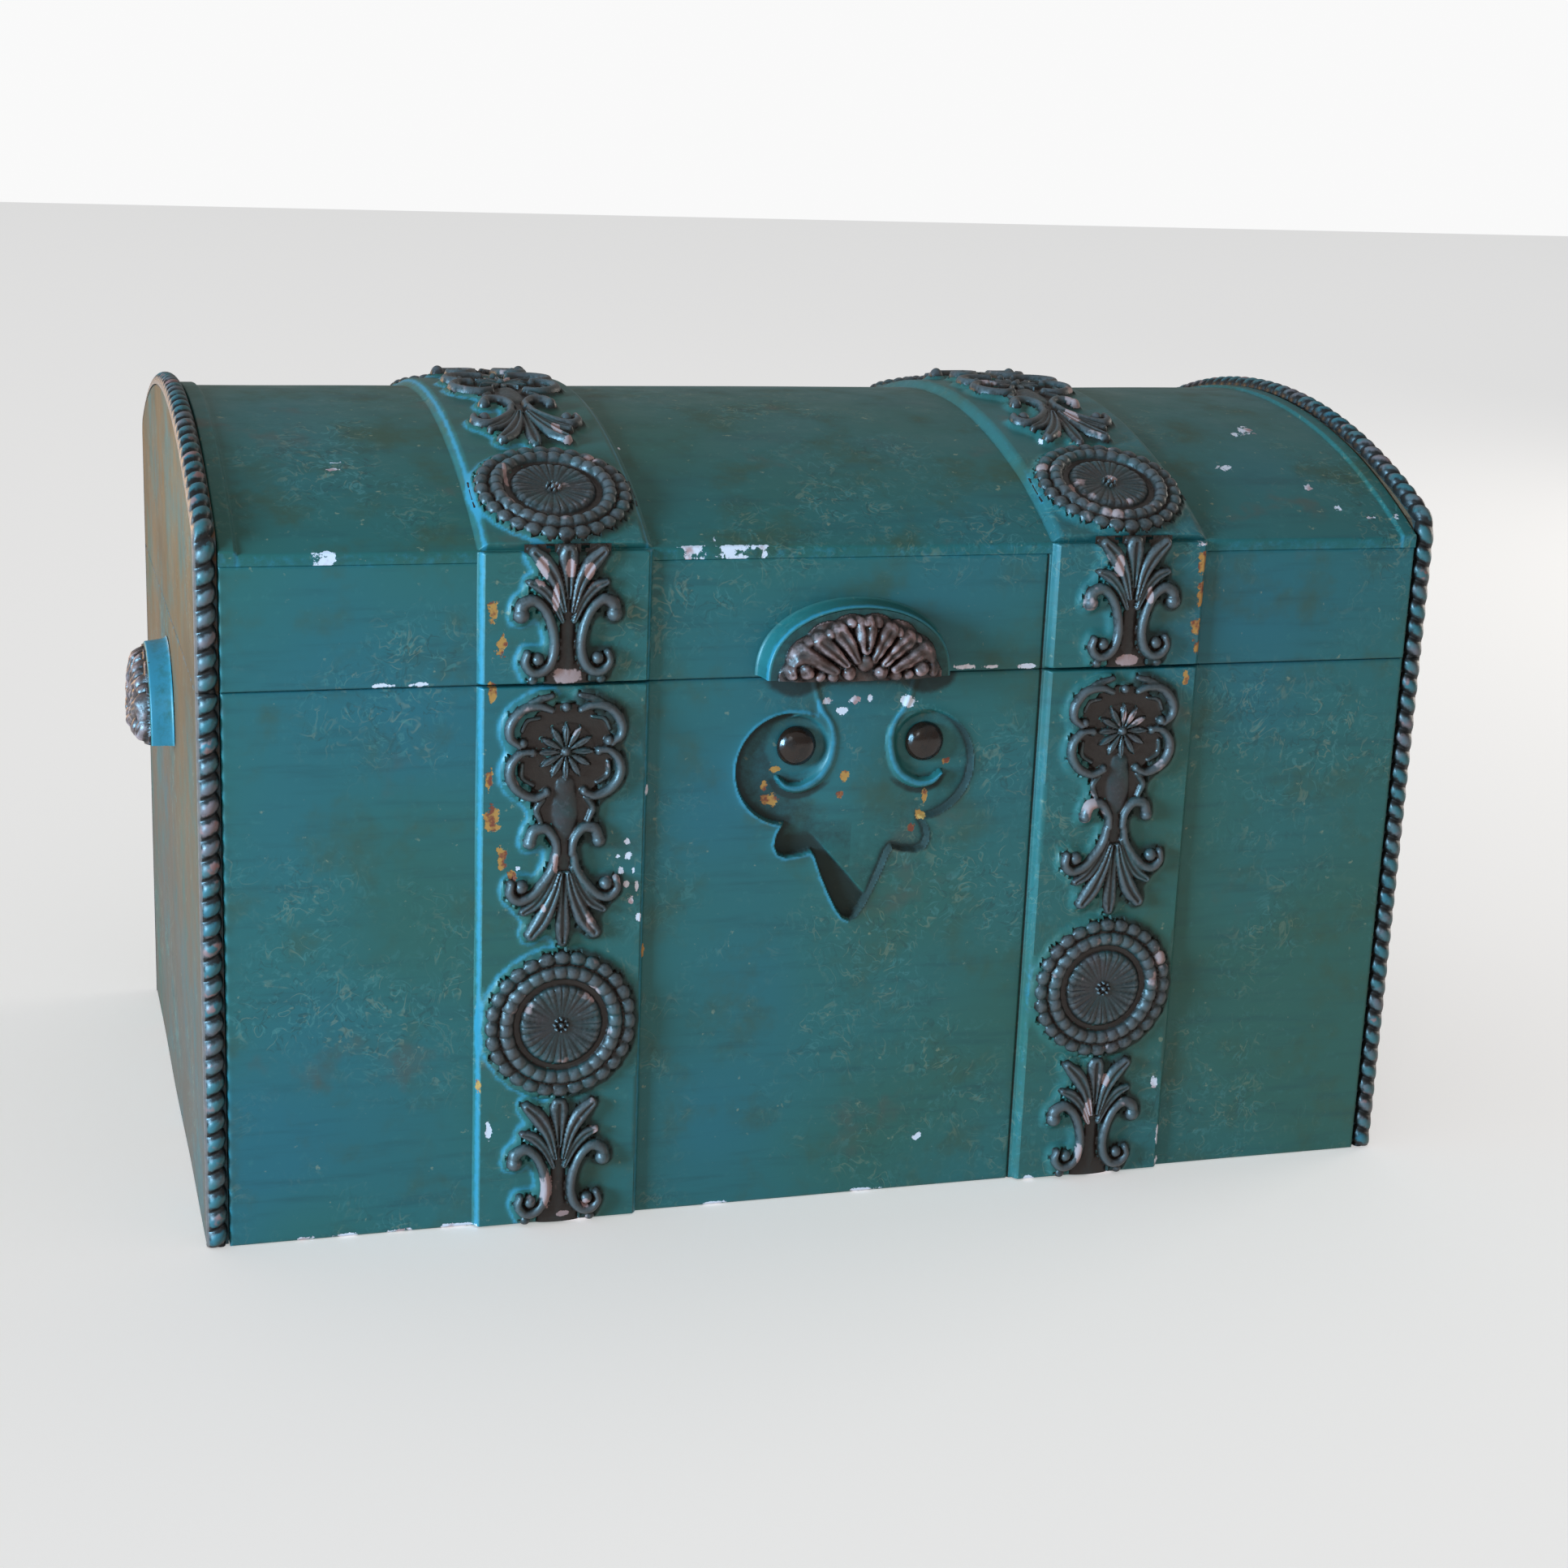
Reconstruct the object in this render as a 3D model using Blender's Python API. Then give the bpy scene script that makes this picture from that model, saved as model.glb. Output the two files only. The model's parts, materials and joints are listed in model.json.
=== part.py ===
"""A small domed-lid wooden treasure chest, painted, with cast ornament straps and shell pulls.

Metres, +Z up. The origin is the centre of the underside, the front faces -Y, and the lid turns
on two butt hinges along the top edge of the back.
"""

import math

import bmesh
import bpy
from mathutils import Matrix, Vector

MM = 0.001
GAP = 0.3 * MM                      # clearance between pieces that touch on the real chest

# Overall box
WIDTH = 500 * MM                    # over the end panels
DEPTH = 295 * MM                    # front face to back face
HALF_W = WIDTH / 2
HALF_D = DEPTH / 2
PARTING = 220 * MM                  # height at which the lid leaves the body
PARTING_GAP = 0.4 * MM              # half of the gap between lid and body
CREASE = 270.5 * MM                 # height at which the dome springs from the lid rails
DOME_TOP = 310 * MM

# Boards
END_T = 8.5 * MM
PANEL_T = 9.5 * MM
BOTTOM_T = 8 * MM
DOME_T = 3.6 * MM
INNER_X = HALF_W - END_T - GAP      # half length of every board held between the end panels

# Rope moulding on the edges of the end panels
BEAD_SETBACK = 3.3 * MM             # edge of the end panel behind the front face
BEAD_RISE = 4.8 * MM                # crest of the moulding above its flat back
BEAD_STEPS = 6
CREST_TOP = 315.3 * MM              # highest point of the moulding
CREST_R = 328 * MM                  # curve of the moulding over the lid
CREST_CORNER_R = 14 * MM            # rounded shoulder of the moulding at the crease

# Straps
STRAP_X = 114 * MM                  # centre of each strap from the middle of the chest
STRAP_W = 67 * MM
STRAP_T = 3 * MM
STRAP_BEVEL = 1.2 * MM
STRAP_CLEAR = 0.6 * MM              # strap ends short of the board ends
CAST_BASE = GAP + STRAP_T + GAP     # back of a casting above the chest's face
CAST_T = 5.4 * MM

# Castings, measured along the strap
ROSETTE_R = 30.3 * MM
ROSETTE_SIDES = 30
ROSETTE_RINGS = ((1.0, 2.6), (0.78, 4.6), (0.42, 3.8), (0.2, 5.4))   # radius ratio, height in mm
BODY_PALMETTE_Z = 1.5 * MM
BODY_ROSETTE_Z = 84.6 * MM
BODY_SCROLL_Z = 115.4 * MM
RAIL_PALMETTE_Z = PARTING + 1.0 * MM
DOME_ROSETTE_S = 31.2 * MM
DOME_SCROLL_S = 62.0 * MM
DOME_PALMETTE_S = 166.0 * MM
DOME_BACK_ROSETTE_S = 249.5 * MM

# Half outlines of the castings, from the foot up, in millimetres: across, along
PALMETTE_HALF = ((14.5, 0.5), (16.5, 6.5), (14.5, 11.5), (8, 13.5), (7, 18), (9, 23), (14, 23),
                 (19, 23.5), (20, 29), (15, 33.5), (13.5, 37), (14.8, 43), (15.5, 48.5), (8, 49.5))
SCROLL_HALF = ((8, 0.8), (14.5, 1), (14, 10), (11, 17), (18, 19), (20.5, 25), (15, 30), (6.5, 31),
               (7, 36), (14, 38), (15, 45), (9, 51), (6.5, 55), (13, 58.5), (21, 62), (25, 70),
               (22, 79), (25.5, 88), (20, 96.5), (11, 98.5), (6, 102))

# Shell pulls: an arched block with a shell casting on its face
PULL_ROOT = (39.5 * MM, 30 * MM)    # half width and height where it meets the lid
PULL_FACE = (34.5 * MM, 27 * MM)    # the same on its face
PULL_T = 10.5 * MM
PULL_UNDER = 0.8 * MM               # underside above the parting
HANDLE_ROOT = (33 * MM, 38 * MM)
HANDLE_FACE = (31.5 * MM, 36 * MM)
HANDLE_T = 9.5 * MM
HANDLE_Z = 170 * MM
ARCH_STEPS = 14
SHELL_T = 8.4 * MM
SHELL_LOBES = 7
SHELL_RINGS = 4
SHELL_MARGIN = 1.2 * MM             # face left bare around the shell

# Carved escutcheon below the pull
ESCUTCHEON_X = 3.5 * MM             # its centre line from the middle of the chest
STUD_MIDDLE = 5.7 * MM              # the two nails are set further right than the carving
STUD_X = 26.5 * MM                  # nails to either side of their own middle
STUD_Z = 191.4 * MM
STUD_HEAD_R = 7.9 * MM
STUD_HEAD_H = 5.2 * MM
STUD_SHANK_R = 1.4 * MM
STUD_SHANK_L = 6.2 * MM
CARVE_DEPTH = 2.8 * MM
VOLUTE_R = 22.5 * MM
VOLUTE_X = 26.5 * MM
VOLUTE_Z = 182.5 * MM
TONGUE_HALF = ((17, 222), (12.5, 206), (11.2, 193), (17.5, 181), (28, 176.5), (12, 158))
PENDANT_HALF = ((0.5, 119), (8, 126), (13, 137), (16.5, 148.3), (32, 148.3), (33.5, 158))

# Hinges on the back
HINGE_X = 150 * MM
HINGE_L = 50 * MM
HINGE_LID_KNUCKLE = 18 * MM
LEAF_T = 1.5 * MM
LEAF_REACH = 24 * MM
KNUCKLE_R = 3.0 * MM
PIN_R = 1.25 * MM
HINGE_Y = HALF_D + KNUCKLE_R + GAP
SCREW_X = 16 * MM
SCREW_DROP = 14 * MM
SCREW_R = 1.3 * MM
SCREW_HEAD_R = 3.0 * MM
SCREW_L = 8.5 * MM
ROUND_SIDES = 12

DOME_R = (HALF_D ** 2 + (DOME_TOP - CREASE) ** 2) / (2 * (DOME_TOP - CREASE))
DOME_CENTRE = DOME_TOP - DOME_R
DOME_ANGLE = math.asin(HALF_D / DOME_R)
DOME_STEPS = 24


# ---------------------------------------------------------------- places on the chest

def on_front(u, v, h):
    """u across, v up and h out of the front face."""
    return Vector((u, -HALF_D - h, v))


def on_left(u, v, h):
    return Vector((-HALF_W - h, u, v))


def on_right(u, v, h):
    return Vector((HALF_W + h, u, v))


def on_dome(u, s, h):
    """u across, s along the dome from its front crease, h out of its surface."""
    angle = s / DOME_R - DOME_ANGLE
    return Vector((u, (DOME_R + h) * math.sin(angle), DOME_CENTRE + (DOME_R + h) * math.cos(angle)))


# ---------------------------------------------------------------- making solids

def material(name, colour, roughness, metallic=0.0):
    made = bpy.data.materials.new(name)
    made.use_nodes = True
    shader = made.node_tree.nodes["Principled BSDF"]
    shader.inputs["Base Color"].default_value = (*colour, 1.0)
    shader.inputs["Roughness"].default_value = roughness
    shader.inputs["Metallic"].default_value = metallic
    made.diffuse_color = (*colour, 1.0)
    return made


def add_object(name, mesh, finish, parent=None):
    obj = bpy.data.objects.new(name, mesh)
    mesh.materials.append(finish)
    bpy.context.scene.collection.objects.link(obj)
    if parent is not None:
        obj.parent = parent
        obj.matrix_parent_inverse = Matrix.Translation(-parent.location)
    return obj


def add_bmesh(name, bm, finish, parent=None, smooth=False):
    bmesh.ops.recalc_face_normals(bm, faces=bm.faces)
    mesh = bpy.data.meshes.new(name)
    bm.to_mesh(mesh)
    bm.free()
    if smooth:
        mesh.shade_smooth()
        mesh.set_sharp_from_angle(angle=math.radians(35))
    return add_object(name, mesh, finish, parent)


def loft(name, rings, finish, parent=None, smooth=False):
    """Closed solid through rings of equal length, with its first and last ring capped."""
    bm = bmesh.new()
    loops = [[bm.verts.new(point) for point in ring] for ring in rings]
    count = len(loops[0])
    for low, high in zip(loops, loops[1:]):
        for i in range(count):
            j = (i + 1) % count
            bm.faces.new((low[i], low[j], high[j], high[i]))
    bm.faces.new(loops[0])
    bm.faces.new(loops[-1])
    return add_bmesh(name, bm, finish, parent, smooth)


def board(name, low, high, finish, parent=None, bevel=0.0):
    """A rectangular board between two corners."""
    bm = bmesh.new()
    bmesh.ops.create_cube(bm, size=1.0)
    size = Vector(high) - Vector(low)
    bmesh.ops.scale(bm, vec=size, verts=bm.verts)
    bmesh.ops.translate(bm, vec=Vector(low) + size / 2, verts=bm.verts)
    obj = add_bmesh(name, bm, finish, parent)
    if bevel:
        rounding = obj.modifiers.new("rounded edges", "BEVEL")
        rounding.width = bevel
        rounding.segments = 2
        rounding.limit_method = "ANGLE"
    return obj


def prism_x(name, outline, x0, x1, finish, parent=None):
    """Outline of (y, z) points carried along X."""
    return loft(name, [[(x, y, z) for y, z in outline] for x in (x0, x1)], finish, parent)


def rod(name, start, end, radius, finish, parent=None, sides=ROUND_SIDES):
    """Round bar from start to end."""
    start, end = Vector(start), Vector(end)
    turn = (end - start).to_track_quat("Z", "Y").to_matrix()
    ring = [turn @ Vector((radius * math.cos(a), radius * math.sin(a), 0))
            for a in (2 * math.pi * i / sides for i in range(sides))]
    return loft(name, [[start + p for p in ring], [end + p for p in ring]], finish, parent, True)


def turned(name, profile, origin, direction, finish, parent=None, sides=ROUND_SIDES):
    """Solid of (radius, height) rings about a line; a ring of radius 0 is not needed at the ends."""
    turn = Vector(direction).to_track_quat("Z", "Y").to_matrix()
    rings = []
    for radius, height in profile:
        rings.append([Vector(origin) + turn @ Vector((radius * math.cos(a), radius * math.sin(a), height))
                      for a in (2 * math.pi * i / sides for i in range(sides))])
    return loft(name, rings, finish, parent, True)


def combine(obj, others, operation):
    """Boolean of obj with the other objects, which are used up."""
    for other in others:
        change = obj.modifiers.new("change", "BOOLEAN")
        change.operation = operation
        change.object = other
    graph = bpy.context.evaluated_depsgraph_get()
    mesh = bpy.data.meshes.new_from_object(obj.evaluated_get(graph))
    obj.modifiers.clear()
    obj.data = mesh
    for other in others:
        bpy.data.objects.remove(other)
    return obj


# ---------------------------------------------------------------- outlines

def mirrored(half):
    """Closed outline from the right half of a shape, listed from its foot up."""
    return [*half, *((-x, y) for x, y in reversed(half))]


def smoothed(points, steps=2):
    """Catmull-Rom curve through a closed outline."""
    found = []
    count = len(points)
    for i in range(count):
        p0, p1, p2, p3 = (Vector(points[(i + k) % count]) for k in (-1, 0, 1, 2))
        for step in range(steps):
            t = step / steps
            found.append(0.5 * (2 * p1 + (p2 - p0) * t + (2 * p0 - 5 * p1 + 4 * p2 - p3) * t ** 2
                                + (3 * p1 - p0 - 3 * p2 + p3) * t ** 3))
    return found


def arch(half_width, height):
    """Arched outline with a flat foot, from its right foot over to its left."""
    return [(half_width * math.cos(a), height * math.sin(a) ** 0.85)
            for a in (math.pi * i / ARCH_STEPS for i in range(ARCH_STEPS + 1))]


def end_profile(rise):
    """Edge of a lid end panel, in (y, z), from the front foot over to the back foot.

    rise is the distance outside the panel's own edge, so every curve shares its centre.
    """
    base = BEAD_RISE + GAP
    half = HALF_D - BEAD_SETBACK + rise
    radius = CREST_R - base + rise
    corner = CREST_CORNER_R - base + rise
    centre_z = CREST_TOP - CREST_R
    corner_y = half - corner
    corner_z = centre_z + math.sqrt((radius - corner) ** 2 - corner_y ** 2)
    shoulder = math.atan2(corner_z - centre_z, corner_y)
    foot = PARTING + PARTING_GAP
    front = [(-half, foot)]
    for i in range(4):
        turn = shoulder * i / 3
        front.append((-corner_y - corner * math.cos(turn), corner_z + corner * math.sin(turn)))
    over = 20
    crown = []
    for i in range(1, over):
        turn = math.pi - shoulder - (math.pi - 2 * shoulder) * i / over
        crown.append((radius * math.cos(turn), centre_z + radius * math.sin(turn)))
    return front + crown + [(-y, z) for y, z in reversed(front)]


# ---------------------------------------------------------------- boards

def add_body(paint, bare):
    top = PARTING - PARTING_GAP
    inner_y = HALF_D - PANEL_T
    board("front_panel", (-INNER_X, -HALF_D, 0), (INNER_X, -inner_y, top), paint)
    board("back_panel", (-INNER_X, inner_y, 0), (INNER_X, HALF_D, top), paint)
    edge = HALF_D - BEAD_SETBACK
    for side, sign in (("left", -1), ("right", 1)):
        xs = sorted((sign * HALF_W, sign * (HALF_W - END_T)))
        board(f"{side}_end_panel", (xs[0], -edge, 0), (xs[1], edge, top), paint)
    board("bottom_board", (-INNER_X, -inner_y + GAP, 0), (INNER_X, inner_y - GAP, BOTTOM_T), bare)


def add_lid(paint, hinge_line):
    foot = PARTING + PARTING_GAP
    dome_under = DOME_R - DOME_T - GAP
    inner_y = HALF_D - PANEL_T

    def under(y):
        return DOME_CENTRE + math.sqrt(dome_under ** 2 - y ** 2)

    for name, sign in (("lid_front_rail", -1), ("lid_back_rail", 1)):
        outline = [(sign * HALF_D, foot), (sign * HALF_D, under(HALF_D)),
                   (sign * inner_y, under(inner_y)), (sign * inner_y, foot)]
        prism_x(name, outline, -INNER_X, INNER_X, paint, hinge_line)

    turns = [DOME_ANGLE * (2 * i / DOME_STEPS - 1) for i in range(DOME_STEPS + 1)]
    outside = [(DOME_R * math.sin(a), DOME_CENTRE + DOME_R * math.cos(a)) for a in turns]
    inside_r = DOME_R - DOME_T
    inside = [(y, DOME_CENTRE + math.sqrt(inside_r ** 2 - y ** 2)) for y, _ in reversed(outside)]
    prism_x("lid_dome_panel", outside + inside, -INNER_X, INNER_X, paint, hinge_line)

    for side, sign in (("left", -1), ("right", 1)):
        prism_x(f"lid_{side}_end_panel", end_profile(0), sign * HALF_W, sign * (HALF_W - END_T),
                paint, hinge_line)


def half_round(x0, x1, curve):
    """Rings of a half-round moulding: curve gives the (y, z) line at any rise above its back."""
    middle, half = (x0 + x1) / 2, abs(x1 - x0) / 2
    section = [(middle + half * math.cos(a), GAP + BEAD_RISE * math.sin(a))
               for a in (math.pi * i / BEAD_STEPS for i in range(BEAD_STEPS + 1))]
    lines = [curve(rise) for _, rise in section]
    return [[(x, *line[k]) for (x, _), line in zip(section, lines)] for k in range(len(lines[0]))]


def add_mouldings(paint, hinge_line):
    edge = HALF_D - BEAD_SETBACK
    top = PARTING - PARTING_GAP
    for side, sign in (("left", -1), ("right", 1)):
        x0, x1 = sign * HALF_W, sign * (HALF_W - END_T + GAP)
        for face, way in (("front", -1), ("back", 1)):
            def upright(rise, way=way):
                return [(way * (edge + rise), GAP), (way * (edge + rise), top)]
            loft(f"{side}_{face}_bead_moulding", half_round(x0, x1, upright), paint, smooth=True)
        loft(f"lid_{side}_bead_moulding", half_round(x0, x1, end_profile), paint, hinge_line, True)


# ---------------------------------------------------------------- straps and castings

def add_straps(paint, hinge_line):
    half = STRAP_W / 2
    near, far = -HALF_D - GAP - STRAP_T, -HALF_D - GAP
    for side, x in (("left", -STRAP_X), ("right", STRAP_X)):
        board(f"body_{side}_strap", (x - half, near, STRAP_CLEAR), (x + half, far, PARTING - STRAP_CLEAR),
              paint, bevel=STRAP_BEVEL)
        board(f"lid_{side}_rail_strap", (x - half, near, PARTING + STRAP_CLEAR), (x + half, far, CREASE),
              paint, hinge_line, STRAP_BEVEL)
        low, high = GAP, GAP + STRAP_T
        shoulder = high - STRAP_BEVEL
        section = ((-half, low), (half, low), (half, shoulder), (half - STRAP_BEVEL, high),
                   (STRAP_BEVEL - half, high), (-half, shoulder))
        length = 2 * DOME_ANGLE * DOME_R - 2 * STRAP_CLEAR
        stations = [STRAP_CLEAR + length * i / DOME_STEPS for i in range(DOME_STEPS + 1)]
        loft(f"lid_{side}_dome_strap", [[on_dome(x + u, s, h) for u, h in section] for s in stations],
             paint, hinge_line)


def casting(name, half, place, x, start, finish, parent=None):
    """Flat-topped casting with an outline, laid on the strap from start along it."""
    outline = [Vector((x + p.x * MM, start + p.y * MM)) for p in smoothed(mirrored(half))]
    bm = bmesh.new()
    low = [bm.verts.new((p.x, p.y, CAST_BASE)) for p in outline]
    foot = bm.faces.new(low)
    risen = bmesh.ops.extrude_face_region(bm, geom=[foot])["geom"]
    bmesh.ops.translate(bm, vec=(0, 0, CAST_T), verts=[g for g in risen if isinstance(g, bmesh.types.BMVert)])
    if place is on_dome:
        length = max(p.y for p in outline) - start
        cuts = math.ceil(length / (12 * MM))
        for i in range(1, cuts):
            geometry = bm.verts[:] + bm.edges[:] + bm.faces[:]
            bmesh.ops.bisect_plane(bm, geom=geometry, plane_co=(0, start + length * i / cuts, 0),
                                   plane_no=(0, 1, 0))
    bmesh.ops.triangulate(bm, faces=bm.faces)
    for vert in bm.verts:
        vert.co = place(*vert.co)
    return add_bmesh(name, bm, finish, parent)


def rosette(name, place, x, centre, finish, parent=None):
    """Round casting of two raised rings about a boss."""
    rings = [(0.5, 0.0), (1.0, 0.0), *ROSETTE_RINGS]
    bm = bmesh.new()
    loops = []
    for ratio, height in rings:
        radius = ROSETTE_R * ratio
        loops.append([bm.verts.new(place(x + radius * math.cos(a), centre + radius * math.sin(a),
                                         CAST_BASE + height * MM))
                      for a in (2 * math.pi * i / ROSETTE_SIDES for i in range(ROSETTE_SIDES))])
    hubs = (bm.verts.new(place(x, centre, CAST_BASE)), bm.verts.new(place(x, centre, CAST_BASE + 6 * MM)))
    for low, high in zip(loops, loops[1:]):
        for i in range(ROSETTE_SIDES):
            j = (i + 1) % ROSETTE_SIDES
            bm.faces.new((low[i], low[j], high[j], high[i]))
    for hub, loop in zip(hubs, (loops[0], loops[-1])):
        for i in range(ROSETTE_SIDES):
            bm.faces.new((hub, loop[i], loop[(i + 1) % ROSETTE_SIDES]))
    return add_bmesh(name, bm, finish, parent, True)


def add_castings(finish, hinge_line):
    for side, x in (("left", -STRAP_X), ("right", STRAP_X)):
        casting(f"body_{side}_palmette", PALMETTE_HALF, on_front, x, BODY_PALMETTE_Z, finish)
        rosette(f"body_{side}_rosette", on_front, x, BODY_ROSETTE_Z, finish)
        casting(f"body_{side}_scroll", SCROLL_HALF, on_front, x, BODY_SCROLL_Z, finish)
        casting(f"lid_{side}_palmette", PALMETTE_HALF, on_front, x, RAIL_PALMETTE_Z, finish, hinge_line)
        rosette(f"lid_{side}_rosette", on_dome, x, DOME_ROSETTE_S, finish, hinge_line)
        casting(f"lid_{side}_scroll", SCROLL_HALF, on_dome, x, DOME_SCROLL_S, finish, hinge_line)
        casting(f"lid_{side}_back_palmette", PALMETTE_HALF, on_dome, x, DOME_PALMETTE_S, finish, hinge_line)
        rosette(f"lid_{side}_back_rosette", on_dome, x, DOME_BACK_ROSETTE_S, finish, hinge_line)


# ---------------------------------------------------------------- pulls

def pull_block(name, place, root, face, depth, foot, finish, parent=None):
    """Arched block that narrows a little towards its face."""
    rings = [[place(u, foot + v, h) for u, v in arch(*size)] for size, h in ((root, GAP), (face, depth))]
    return loft(name, rings, finish, parent, True)


def shell(name, place, face, depth, foot, finish, parent=None):
    """Fan of lobes, highest near its hinge end, on the face of a pull block."""
    half_width, height = face[0] - SHELL_MARGIN, face[1] - SHELL_MARGIN
    steps = 2 * SHELL_LOBES
    bm = bmesh.new()
    hubs = [bm.verts.new(place(0, foot, depth + h)) for h in (GAP, 0.75 * SHELL_T)]

    def rim_point(i, ratio, h):
        angle = math.pi * i / steps
        return place(half_width * ratio * math.cos(angle), foot + height * ratio * math.sin(angle) ** 0.85,
                     depth + h)

    grid = []
    for k in range(1, SHELL_RINGS + 1):
        ratio = k / SHELL_RINGS
        swell = SHELL_T * (0.75 + 0.9 * ratio - 1.4 * ratio ** 3)
        row = []
        for i in range(steps + 1):
            lobe = 1.0 if i % 2 else 0.82
            row.append(bm.verts.new(rim_point(i, ratio, max(swell * lobe, 1.2 * MM))))
        grid.append(row)
    back = [bm.verts.new(rim_point(i, 1.0, GAP)) for i in range(steps + 1)]
    for i in range(steps):
        bm.faces.new((hubs[1], grid[0][i], grid[0][i + 1]))
        for low, high in zip(grid, grid[1:]):
            bm.faces.new((low[i], high[i], high[i + 1], low[i + 1]))
        bm.faces.new((grid[-1][i], back[i], back[i + 1], grid[-1][i + 1]))
        bm.faces.new((hubs[0], back[i + 1], back[i]))
    for end in (0, steps):
        bm.faces.new([hubs[0], hubs[1], *(row[end] for row in grid), back[end]])
    return add_bmesh(name, bm, finish, parent, True)


def add_pulls(paint, bronze, hinge_line):
    foot = PARTING + PULL_UNDER
    pull_block("lid_pull_block", on_front, PULL_ROOT, PULL_FACE, PULL_T, foot, paint, hinge_line)
    shell("lid_pull_shell", on_front, PULL_FACE, PULL_T, foot, bronze, hinge_line)
    for side, place in (("left", on_left), ("right", on_right)):
        pull_block(f"{side}_handle_block", place, HANDLE_ROOT, HANDLE_FACE, HANDLE_T, HANDLE_Z, paint)
        shell(f"{side}_handle_shell", place, HANDLE_FACE, HANDLE_T, HANDLE_Z, bronze)


# ---------------------------------------------------------------- escutcheon

def cutter(name, outline, finish):
    """Block that cuts the escutcheon's recess into the front panel."""
    return loft(name, [[on_front(ESCUTCHEON_X + u, v, h) for u, v in outline]
                       for h in (-CARVE_DEPTH, 5 * MM)], finish)


def carve_escutcheon(finish):
    """Two round volutes and a pointed pendant, around a tongue left at full thickness."""
    cutters = []
    for sign in (-1, 1):
        circle = [(sign * VOLUTE_X + VOLUTE_R * math.cos(a), VOLUTE_Z + VOLUTE_R * math.sin(a))
                  for a in (2 * math.pi * i / 36 for i in range(36))]
        cutters.append(cutter("volute", circle, finish))
    pendant = [(u * MM, v * MM) for u, v in (*PENDANT_HALF, (33.5, 170))]
    cutters.append(cutter("pendant", mirrored(pendant), finish))
    recess = combine(cutters[0], cutters[1:], "UNION")
    tongue = [(u * MM, v * MM) for u, v in reversed(TONGUE_HALF)]
    recess = combine(recess, [cutter("tongue", mirrored(tongue), finish)], "DIFFERENCE")
    centres = [STUD_MIDDLE + sign * STUD_X for sign in (-1, 1)]
    holes = [rod("hole", on_front(x, STUD_Z, 2 * MM), on_front(x, STUD_Z, -2 * PANEL_T),
                 STUD_SHANK_R + GAP, finish) for x in centres]
    combine(bpy.data.objects["front_panel"], [recess, *holes], "DIFFERENCE")


def add_studs(finish):
    """Domed upholstery nails, seated on the floor of the recess."""
    steps = 5
    for side, sign in (("left", -1), ("right", 1)):
        profile = [(STUD_SHANK_R, -STUD_SHANK_L), (STUD_SHANK_R, 0), (STUD_HEAD_R, 0)]
        for i in range(1, steps):
            turn = 0.5 * math.pi * i / steps
            profile.append((STUD_HEAD_R * math.cos(turn), STUD_HEAD_H * math.sin(turn)))
        profile.append((STUD_HEAD_R * 0.08, STUD_HEAD_H))
        seat = on_front(STUD_MIDDLE + sign * STUD_X, STUD_Z, GAP - CARVE_DEPTH)
        turned(f"{side}_stud", profile, seat, (0, -1, 0), finish, sides=18)


# ---------------------------------------------------------------- hinges

def hinge_leaf(name, x, up, knuckles, clear, finish, parent=None):
    """Leaf on the back face: a plate, its knuckles about the pin, and two countersunk holes."""
    face = HALF_D + GAP
    near, far = PARTING + up * 0.3 * MM, PARTING + up * LEAF_REACH
    plate = board(name, (x - HINGE_L / 2, face, min(near, far)), (x + HINGE_L / 2, face + LEAF_T, max(near, far)),
                  finish, parent)
    barrels = [rod("barrel", (x + a, HINGE_Y, PARTING), (x + b, HINGE_Y, PARTING), KNUCKLE_R, finish)
               for a, b in knuckles]
    room = KNUCKLE_R + GAP
    notches = [board("notch", (x + a - GAP, face - MM, PARTING - room), (x + b + GAP, HINGE_Y + MM, PARTING + room),
                     finish) for a, b in clear]
    bore = rod("bore", (x - HINGE_L, HINGE_Y, PARTING), (x + HINGE_L, HINGE_Y, PARTING), PIN_R + GAP, finish)
    combine(plate, notches, "DIFFERENCE")
    combine(plate, barrels, "UNION")
    holes = [turned("hole", ((SCREW_R + GAP, -MM), (SCREW_R + GAP, 0.2 * MM),
                             (SCREW_HEAD_R + GAP, LEAF_T + 0.05 * MM), (SCREW_HEAD_R + GAP, 2 * LEAF_T)),
                    (x + side * SCREW_X, face, PARTING + up * SCREW_DROP), (0, 1, 0), finish)
             for side in (-1, 1)]
    return combine(plate, [bore, *holes], "DIFFERENCE")


def add_screw(name, x, z, finish, parent=None):
    face = HALF_D + GAP
    tip = 0.4 * SCREW_R
    profile = ((tip, -SCREW_L), (SCREW_R, 2 * MM - SCREW_L), (SCREW_R, 0.45 * MM),
               (SCREW_HEAD_R, LEAF_T), (0.7 * SCREW_HEAD_R, LEAF_T + 0.35 * MM))
    turned(name, profile, (x, face, z), (0, 1, 0), finish, parent, 10)


def drill(board_name, places, finish):
    """Pilot holes for the hinge screws."""
    holes = [rod("pilot", (x, HALF_D + MM, z), (x, HALF_D - PANEL_T - MM, z), SCREW_R + GAP, finish)
             for x, z in places]
    combine(bpy.data.objects[board_name], holes, "DIFFERENCE")


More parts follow.
